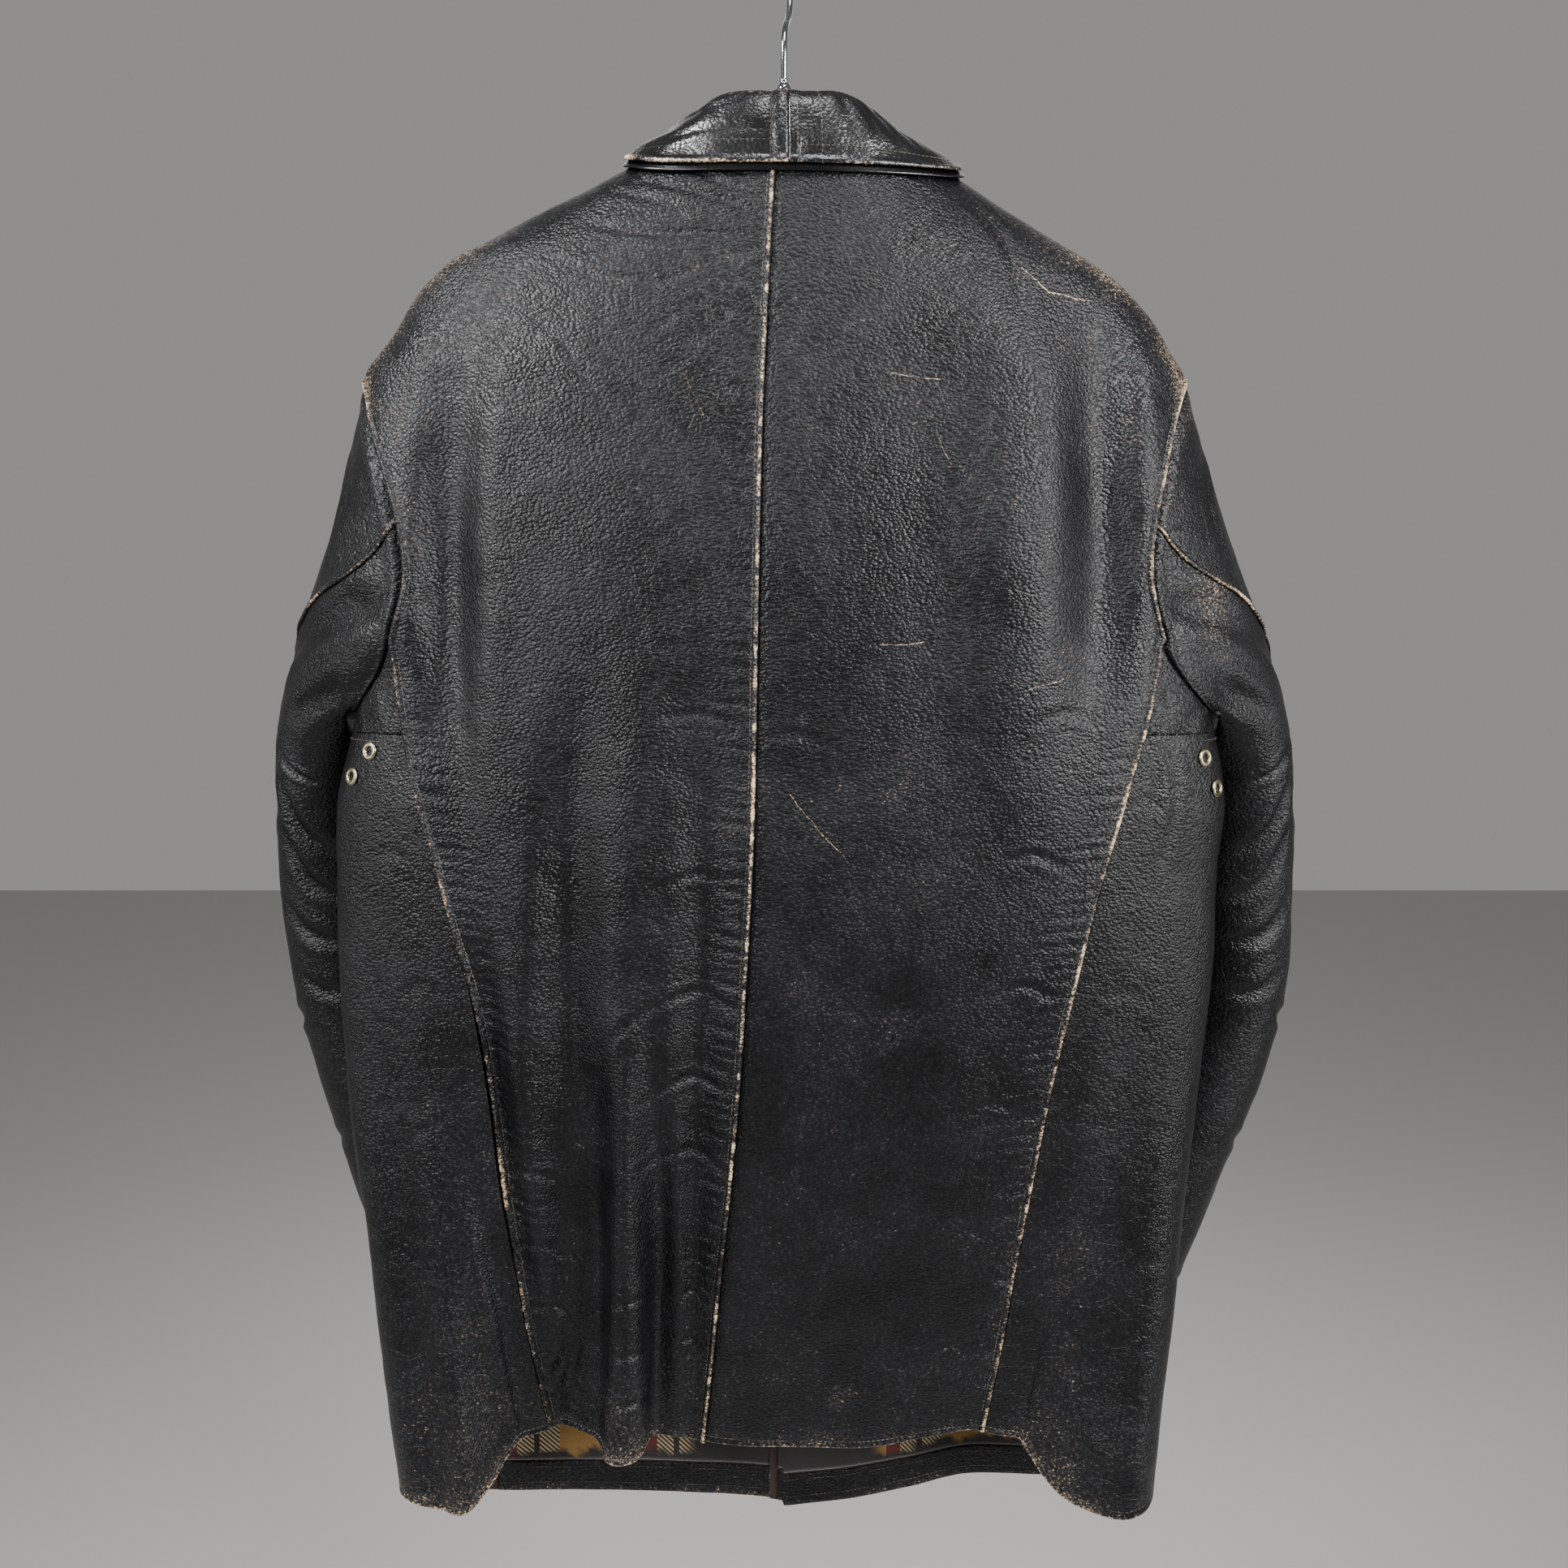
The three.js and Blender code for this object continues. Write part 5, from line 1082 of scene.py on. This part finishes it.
# Creases of the collar, as (degrees from the seam, share of the section x 100).
COLLAR_CREASES = {
    -1: [([(4, 84), (24, 83), (52, 85)], 2.2, 0.9), ([(10, 66), (24, 70), (40, 64)], 2.4, 0.5)],
    1: [([(24, 60), (28, 76), (27, 90)], 1.8, 0.7), ([(34, 58), (38, 74), (36, 90)], 1.8, 0.6),
        ([(44, 60), (47, 74), (46, 88)], 1.8, 0.6), ([(17, 62), (19, 74), (18, 86)], 1.6, 0.5)],
}
v_rows = np.unique(np.concatenate([np.linspace(0, 0.94, 42), 1 - EDGE_LINES[:7][::-1] / 110]))
for side, hand in SIDES:
    lines = EDGE_LINES * SEAM_DEGREE_MM
    beyond = np.linspace(lines[-1], COLLAR_END - COLLAR_SEAM * side, COLLAR_COLUMNS)[1:]
    angles = COLLAR_SEAM + side * np.concatenate([lines, beyond])
    a_grid, v_grid = np.meshgrid(angles, v_rows)
    middle = collar_surface(a_grid, v_grid)
    outward = collar_outward(a_grid, v_grid)
    steps = np.linalg.norm(np.diff(middle, axis=0), axis=2)
    from_rim = np.concatenate([np.cumsum(steps[::-1], axis=0)[::-1], np.zeros((1, len(angles)))])
    from_seam = np.abs(a_grid - COLLAR_SEAM) * SEAM_DEGREE_MM
    from_point = np.abs(a_grid - side * COLLAR_END) * POINT_DEGREE_MM
    relief = drifts(middle, LEATHER / 2, (0.5, 26, 201), (0.42, 11, 204), (0.12, 5, 207))
    relief += 0.9 * bell(from_rim - 1.8, 2.0, 4) - 0.4 * bell(from_rim - RIM_STITCH, 1.1)
    relief -= 0.7 * bell(from_rim, 0.5)
    relief += SEAM_ROLL[side] * bell(from_seam - 1.6, 1.7, 4)
    relief -= 0.35 * bell(from_seam - SEAM_STITCH[side], 0.9)
    relief += puckers(from_rim, a_grid * side, 0.25, 210 + side, 5.5, 0.01, 12)
    for path, half_width, depth in COLLAR_CREASES[side]:
        relief += crease(np.abs(a_grid), v_grid * 100, path, half_width, depth)
    points = middle + outward * relief[..., None]
    spread_out = smoothstep(np.abs(a_grid), 5, 70)
    breadth = (0.9 + 1.2 * spread_out) if side < 0 else 0.9
    ends = smoothstep(np.abs(a_grid), 88, 100)
    tone = (0.6 + 0.3 * spread_out if side < 0 else 0.36) * (1 - ends)
    tone += 0.5 * drift_along(a_grid, 14, 220 + side)
    wear_and_shade = 0.1 + tone * bell(from_rim - 0.8 * breadth, breadth, 4) + 0.15 * bell(from_rim, 7)
    wear_and_shade -= 0.35 * ends * bell(from_rim, 9)
    wear_and_shade += 0.2 * bell(from_point - 1.0, 1.2, 4)
    crest = bell(v_grid - 0.46, 0.09)
    if side < 0:
        wear_and_shade += 0.5 * bell(from_seam - 12, 14) * bell(v_grid - 0.52, 0.13)
        wear_and_shade += 0.3 * crest * smoothstep(from_seam, 30, 60)
        wear_and_shade += 0.3 * bell(from_seam, 2.5)
    else:
        wear_and_shade += 0.18 * crest
    leaf = cloth_piece(f"collar_leaf_{hand}", points, outward, wear_and_shade, 0.1,
                       np.stack([from_seam * side, from_rim], -1), [collar_leather, flesh_side],
                       f"collar_{hand}", 1.6)
    proud = points + outward * THREAD_PROUD
    rim_row = int(np.argmin(np.abs(from_rim[:, 40] - RIM_STITCH)))
    stitch_paths[f"collar_rim_{hand}"] = proud[rim_row, 4:-4]
    seam_column = int(np.argmin(np.abs(from_seam[0] - SEAM_STITCH[side])))
    stitch_paths[f"collar_seam_{hand}"] = proud[COLLAR_SEWN, seam_column]
    if side > 0:
        close_column = int(np.argmin(np.abs(from_seam[0] - CLOSE_STITCH)))
        stitch_paths["collar_seam_close"] = proud[COLLAR_SEWN, close_column]

# The under collar: a smooth polished lining of the fall, 3.5 mm longer than the leaves.
UNDER_COLLAR_PEEP = 3.5
UNDER_COLLAR_GRID = (241, 12)
polished_leather = leather_material("smooth_polished_cowhide", roughness=0.26, grain=0.04, shine=0.4)
angles = np.linspace(-COLLAR_END, COLLAR_END, UNDER_COLLAR_GRID[0])
a_grid, v_grid = np.meshgrid(angles, np.linspace(COLLAR_FALL, 1, UNDER_COLLAR_GRID[1]))
middle = collar_surface(a_grid, v_grid)
outward = collar_outward(a_grid, v_grid)
rim, way = middle[-1], unit(middle[-1] - middle[-2])
for share in (0.35, 0.7, 0.95, 1.0):
    middle = np.concatenate([middle, (rim + way * UNDER_COLLAR_PEEP * share)[None]])
    outward = np.concatenate([outward, outward[-1:]])
drop = np.full(middle.shape[:2], -(LEATHER / 2 + SEAM_GAP))
drop[-1] -= 0.6
points = middle + outward * drop[..., None]
uv = np.stack(np.meshgrid(angles, np.arange(len(middle)) * 1.6), -1)
under = cloth_piece("under_collar_lining", points, outward, 0.05, 0.0, uv, [polished_leather],
                    "under_collar", UNDER_COLLAR * 0.9)

# Stitching
# Bonded black thread in a lockstitch, about eight to the inch, along every turned edge. Each stitch lies
# in the line that it has drawn into the leather.
STITCH_PITCH = 3.1
STITCH_LENGTH = 2.5
THREAD_RADIUS = 0.26
FADE_MM = 1000 / 60
thread = mottled_material("bonded_thread", ("#16130f", "#5a544b"), FADE_MM, 3.0, 0.7, span=(0.45, 0.7))[0]

stitcher = bpy.data.node_groups.new("stitch_row", "GeometryNodeTree")
stitcher.interface.new_socket("Geometry", in_out="INPUT", socket_type="NodeSocketGeometry")
stitcher.interface.new_socket("Geometry", in_out="OUTPUT", socket_type="NodeSocketGeometry")
for label in ("Pitch", "Stitch length", "Thread radius"):
    stitcher.interface.new_socket(label, in_out="INPUT", socket_type="NodeSocketFloat")
entry = add_node(stitcher, "NodeGroupInput")
path_curve = add_node(stitcher, "GeometryNodeMeshToCurve", {"Mesh": entry})
resampled = add_node(stitcher, "GeometryNodeResampleCurve",
                     {"Curve": path_curve, "Length": entry.outputs["Pitch"]}, mode="LENGTH")
tangent = add_node(stitcher, "GeometryNodeInputTangent")
turned = add_node(stitcher, "FunctionNodeAlignRotationToVector", {"Vector": tangent}, axis="Z")
bead = add_node(stitcher, "GeometryNodeMeshUVSphere", {"Segments": 6, "Rings": 4, "Radius": 1.0})
half = calculate(stitcher, "MULTIPLY", entry.outputs["Stitch length"], 0.5)
size = add_node(stitcher, "ShaderNodeCombineXYZ", {0: entry.outputs["Thread radius"],
                                                   1: entry.outputs["Thread radius"], 2: half})
placed = add_node(stitcher, "GeometryNodeInstanceOnPoints", {"Points": resampled, "Instance": bead,
                                                             "Rotation": turned, "Scale": size})
real = add_node(stitcher, "GeometryNodeRealizeInstances", {0: placed})
finished = add_node(stitcher, "GeometryNodeSetMaterial", {"Geometry": real, "Material": thread})
add_node(stitcher, "NodeGroupOutput", {0: finished})
inputs = [item for item in stitcher.interface.items_tree if item.in_out == "INPUT"]
socket_ids = {item.name: item.identifier for item in inputs}

STITCH_GROUPS = {
    "stitches_back": ("centre_back", "side_back", "back_hem", "gusset_foot", "side_hem"),
    "stitches_front": ("front_edge", "front_hem", "side_front", "facing"),
    "stitches_sleeves": ("sleeve", "cuff"),
    "stitches_collar": ("collar",),
}
for name, prefixes in STITCH_GROUPS.items():
    vertices, edges = [], []
    for key, path in stitch_paths.items():
        if key.startswith(prefixes):
            first = len(vertices)
            vertices += (path * MM).tolist()
            edges += [(first + i, first + i + 1) for i in range(len(path) - 1)]
    lines = bpy.data.meshes.new(name + "_lines")
    lines.from_pydata(vertices, edges, [])
    row = add_object(name + "_lines", lines)
    sewing = row.modifiers.new("sewing", "NODES")
    sewing.node_group = stitcher
    for label, size in (("Pitch", STITCH_PITCH), ("Stitch length", STITCH_LENGTH),
                        ("Thread radius", THREAD_RADIUS)):
        sewing[socket_ids[label]] = size * MM
    evaluated = row.evaluated_get(bpy.context.evaluated_depsgraph_get())
    mesh = bpy.data.meshes.new_from_object(evaluated)
    row.modifiers.remove(sewing)
    bpy.data.objects.remove(row)
    mesh.polygons.foreach_set("use_smooth", np.ones(len(mesh.polygons), bool))
    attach(add_object(name, mesh), "root")

# Eyelets and buttons
# Two nickel-plated brass eyelets air each underarm: a rolled flange outside, clenched inside. The five
# buttons of polished horn have a raised rim, and a cross of thread holds each of them.
EYELETS = {-1: [(254, -487.5), (267, -504)], 1: [(259, -492), (268.5, -511.5)]}
EYELET_PROFILE = [(2.4, -1.6), (2.9, -1.6), (2.9, 0.9), (3.2, 1.2), (5.4, 1.15), (5.75, 1.35),
                  (5.7, 1.75), (5.3, 2.2), (4.7, 2.5), (4.1, 2.6), (3.3, 2.45), (2.75, 2.1), (2.45, 1.6)]
BUTTON_LEVELS = (-270, -390, -510, -630, -750)
BUTTON_X = 3
BUTTON_PROFILE = [(0, 0), (3, 0), (3.1, 1), (9.4, 1.05), (10.1, 1.4), (10.4, 2.2), (10.2, 3.1),
                  (9.6, 3.7), (8.8, 3.8), (8, 3.5), (7.2, 3.1), (6, 2.95), (0, 2.9)]
TURNS = 40


def metal_material(name, colour, roughness, mark_mm):
    """A metal whose polish is broken by fine marks of about mark_mm."""
    material, tree, shader, where = new_material(name)
    marks = noise_node(tree, where, mark_mm, 4.0)
    dark = [c * 0.72 for c in linear(colour)[:3]] + [1.0]
    connect(tree, shader, {"Base Color": mix_colours(tree, marks, colour, dark), "Metallic": 1.0,
                           "Roughness": map_node(tree, marks, 0.35, 0.65, roughness * 0.7,
                                                 roughness * 1.4)})
    return material


def smooth_solid(name, vertices, faces, material):
    """An object from points in metres, with its doubles merged and its faces turned out."""
    mesh = bpy.data.meshes.new(name)
    mesh.from_pydata(vertices, [], faces)
    shape = bmesh.new()
    shape.from_mesh(mesh)
    bmesh.ops.remove_doubles(shape, verts=shape.verts, dist=1e-6)
    bmesh.ops.dissolve_degenerate(shape, edges=shape.edges, dist=1e-7)
    bmesh.ops.recalc_face_normals(shape, faces=shape.faces)
    for face in shape.faces:
        face.smooth = True
    shape.to_mesh(mesh)
    shape.free()
    mesh.materials.append(material)
    return add_object(name, mesh)


def lathe(name, profile, centre, axis, material, turns=TURNS):
    """A turned piece: the profile's (radius, height) points in millimetres, spun about an axis."""
    axis = Vector(axis).normalized()
    across = axis.orthogonal().normalized()
    other = axis.cross(across)
    closed = profile[0][0] > 0
    vertices, faces = [], []
    for r, h in profile:
        for i in range(turns):
            t = 2 * np.pi * i / turns
            spoke = across * (r * np.cos(t)) + other * (r * np.sin(t))
            vertices.append((Vector(centre) + spoke + axis * h) * MM)
    loops = len(profile)
    for j in range(loops if closed else loops - 1):
        for i in range(turns):
            a, b = j * turns + i, j * turns + (i + 1) % turns
            c, d = (j + 1) % loops * turns + (i + 1) % turns, (j + 1) % loops * turns + i
            faces.append((a, b, c, d))
    return smooth_solid(name, vertices, faces, material)


def rod(name, path, radius, material, sides=20):
    """A round rod along a path of points, closed at its ends by half rounds."""
    path = [Vector(p) for p in path]
    vertices, faces = [], []
    first = (path[1] - path[0]).normalized()
    last = (path[-1] - path[-2]).normalized()
    rings = [(path[0] - first * radius * s, c) for s, c in ((0.97, 0.2), (0.8, 0.6), (0.45, 0.88))]
    rings += [(p, 1.0) for p in path]
    rings += [(path[-1] + last * radius * s, c) for s, c in ((0.45, 0.88), (0.8, 0.6), (0.97, 0.2))]
    across = None
    for i, (p, share) in enumerate(rings):
        along = (rings[min(i + 1, len(rings) - 1)][0] - rings[max(i - 1, 0)][0]).normalized()
        across = (across - along
                  * across.dot(along)).normalized() if across else along.orthogonal().normalized()
        other = along.cross(across)
        for j in range(sides):
            t = 2 * np.pi * j / sides
            vertices.append((p + (across * np.cos(t) + other * np.sin(t)) * radius * share) * MM)
    for i in range(len(rings) - 1):
        for j in range(sides):
            k = (j + 1) % sides
            faces.append((i * sides + j, i * sides + k, (i + 1) * sides + k, (i + 1) * sides + j))
    faces.append(tuple(range(sides - 1, -1, -1)))
    faces.append(tuple(range(len(vertices) - sides, len(vertices))))
    return smooth_solid(name, vertices, faces, material)


# Nickel plate over brass: warm silver, a little dulled.
nickel = metal_material("nickel_plated_brass", "#948b74", 0.28, 12)
for side, hand in SIDES:
    for number, (x, z) in enumerate(EYELETS[side], 1):
        angle = float(angle_at(x, z, side, True))
        centre = ring_point(angle, z)
        axis = normal_of(ring_point, np.array(angle), np.array(float(z)))
        eyelet = lathe(f"underarm_eyelet_{hand}_{number}", EYELET_PROFILE, centre, axis, nickel)
        stand_for(eyelet, f"eyelet_{hand}_{number}")

# Horn: dark brown, polished, with streaks of lighter brown.
STREAK_MM = 1000 / 180
horn = mottled_material("polished_horn", ("#0f0b08", "#3a2a1c"), STREAK_MM, 4.0, 0.28, distortion=2.0)[0]
BUTTON_FACE = 2.95
CROSS_REACH = 1.6
CROSS_RADIUS = 0.4
for number, level in enumerate(BUTTON_LEVELS, 1):
    angle = float(past_centre_angle(-1, BUTTON_X, np.array(float(level))))
    axis = normal_of(ring_point, np.array(angle), np.array(float(level)))
    centre = ring_point(angle, level) + axis * (LAP_LIFT + LEATHER / 2 + 0.5)
    button = lathe(f"front_button_{number}", BUTTON_PROFILE, centre, axis, horn)
    stand_for(button, f"button_{number}")
    across = Vector(axis).orthogonal().normalized()
    beside = Vector(axis).cross(across)
    for turn, way in enumerate((across + beside, across - beside), 1):
        strand = [Vector(centre) + Vector(axis) * (BUTTON_FACE + 0.25 * turn * (1 - t * t)) + way
                  * (CROSS_REACH * t)
                  for t in np.linspace(-1, 1, 9)]
        cross = rod(f"button_thread_{number}_{turn}", strand, CROSS_RADIUS, thread, 8)
        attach(cross, "root")

# Hanger
# A shaped beech bar carries the shoulders. A hook of chrome-plated wire comes up through a spun ferrule
# at its middle, and hangs from the rail.
WIRE_RADIUS = 2.0
HOOK_RADIUS = 22.0
HOOK_TURN = np.radians(9)
HOOK_SHANK = [(0, -130), (0, -100), (0, -64), (1.2, -56), (5, -48.5)]
FERRULE_PROFILE = [(2.3, -115.2), (7.5, -115.2), (7.5, -112.5), (7.2, -111.4), (6, -109.4), (5.2, -107.6),
                   (4.7, -103), (4.6, -92), (4.6, -87), (4.45, -85.6), (4, -84.4), (3.2, -83.4),
                   (2.6, -82.9), (2.6, -82.4), (2.85, -82), (2.9, -81.3), (2.75, -80.6), (2.3, -80.2)]


# Chrome plate on steel wire: a hard mirror with faint drawing marks.
chrome = metal_material("chrome_plated_steel", "#9b9ea2", 0.1, 40)


def in_hook_plane(y, z):
    return (y * np.sin(HOOK_TURN), y * np.cos(HOOK_TURN), z)


bend = HOOK_RADIUS + WIRE_RADIUS
shank_y = curve_through(*[(z, y) for y, z in HOOK_SHANK], (-42.8, 12.0))
hook_path = [in_hook_plane(float(shank_y(z)), z) for z in np.linspace(-130, -44, 44)]
hook_path += [in_hook_plane(bend * np.cos(t),
                            -HOOK_RADIUS + bend * np.sin(t)) for t in np.radians(np.arange(-58, 221, 5))]
hook = rod("wire_hook", hook_path, WIRE_RADIUS, chrome)
stand_for(hook, "hanger_hook")
ferrule = lathe("spun_ferrule", FERRULE_PROFILE, (0, 0, 0), (0, 0, 1), chrome, 48)
stand_for(ferrule, "hanger_ferrule")

# Beech: pale reddish brown with long grain and short dark flecks, under a clear satin lacquer.
GRAIN_WIDTH_MM = 2.2
beech, wood_tree, wood_shader = mottled_material(
    "lacquered_beech", ("#7a4f2d", "#b98a5a"), GRAIN_WIDTH_MM, 5.0, 0.42, 0.4, stretch=(0.06, 1.0, 1.0))[:3]
connect(wood_tree, wood_shader, {"Coat Weight": 0.4})
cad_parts["hanger_body"].data.materials.clear()
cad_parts["hanger_body"].data.materials.append(beech)

# Frayed lining yarns
# The wool lining has come loose at the hem behind the folds, and a few of its yarns hang below it.
YARN_RADIUS = 0.55
YARN_HAIR_MM = 0.4
FRAYS = [
    ([(-121, -30, -915), (-119, -34, -924), (-116, -35, -930), (-115, -34, -938)], "mustard"),
    ([(-118, -28, -917), (-112, -36, -924), (-104, -40, -928), (-97, -38, -925), (-90, -32, -917)],
     "cream"),
    ([(-82, -28, -914), (-79, -31, -922), (-81, -32, -928), (-84, -31, -935)], "mustard"),
    ([(-114, -34, -936), (-112, -33, -942), (-113, -32, -946)], "russet"),
    ([(-66, -24, -918), (-64, -26, -925), (-66, -26, -931)], "cream"),
]
YARN_COLOURS = {"mustard": "#a8843c", "cream": "#b9a58a", "russet": "#5d3a2a"}
yarns = {}
for label, code in YARN_COLOURS.items():
    pale = [min(1.0, c * 1.6) for c in linear(code)[:3]] + [1.0]
    yarns[label] = mottled_material(f"wool_yarn_{label}", (code, pale), YARN_HAIR_MM, 3.0, 0.95)[0]
for number, (places, label) in enumerate(FRAYS, 1):
    share = np.linspace(0, len(places) - 1, 26)
    line = np.stack([curve_through(*enumerate([p[i] for p in places]))(share) for i in range(3)], -1)
    line[:, 0] += 0.5 * np.sin(share * 9)
    fray = rod(f"frayed_yarn_{number}", line, YARN_RADIUS, yarns[label], 8)
    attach(fray, "root")

# Floor, lights and camera
# A plain pale floor under the hanging coat, large soft lights above and beside it, and the camera of the
# photograph: level with the upper back, less than a metre away and tilted a little down.
FLOOR_Z = -1.95
FLOOR_SIZE = 14
ROOM_STRENGTH = 0.52
bpy.ops.mesh.primitive_plane_add(size=FLOOR_SIZE, location=(0, 0, FLOOR_Z))
floor = bpy.context.object
floor.name = "floor"
matt_pale, floor_tree, floor_shader = new_material("matt_pale_floor")[:3]
connect(floor_tree, floor_shader, {"Base Color": linear("#b7b5b2"), "Roughness": 0.9})
floor.data.materials.append(matt_pale)

world = bpy.data.worlds.new("pale_room")
world.use_nodes = True
connect(world.node_tree, world.node_tree.nodes["Background"],
        {"Color": linear("#c4c3c1"), "Strength": ROOM_STRENGTH})
bpy.context.scene.world = world

LIGHTS = [
    ("upper_left", (-1.25, -0.8, 0.75), 0.35, 62),
    ("upper_right", (1.15, -1.15, 0.35), 0.4, 42),
    ("overhead", (0.1, -0.9, 1.1), 0.5, 22),
    ("left_middle", (-0.95, -1.25, -0.1), 0.4, 24),
    ("right_middle", (0.95, -1.25, -0.1), 0.4, 23),
    ("left_side", (-1.7, -0.5, -0.5), 0.6, 9),
    ("right_side", (1.7, -0.5, -0.4), 0.6, 8),
    ("right_low", (1.35, -0.75, -0.75), 0.3, 10),
    ("behind", (0.0, 2.2, 0.4), 2.2, 14),
]
LIGHT_AIM = Vector((0, 0, -0.5))
for name, place, size, power in LIGHTS:
    lamp = bpy.data.lights.new(name, "AREA")
    lamp.size = size
    lamp.energy = power
    holder = add_object(name, lamp)
    holder.location = place
    holder.rotation_euler = (LIGHT_AIM - Vector(place)).to_track_quat("-Z", "Y").to_euler()

CAMERA_PLACE = (0, -0.96, -0.395)
CAMERA_TILT = 7.0
LENS_MM = 34.47
FILM_MM = 36
lens = bpy.data.cameras.new("camera")
lens.lens = LENS_MM
lens.sensor_width = FILM_MM
camera = add_object("camera", lens)
camera.location = CAMERA_PLACE
camera.rotation_euler = (np.radians(90 - CAMERA_TILT), 0, 0)
bpy.context.scene.camera = camera
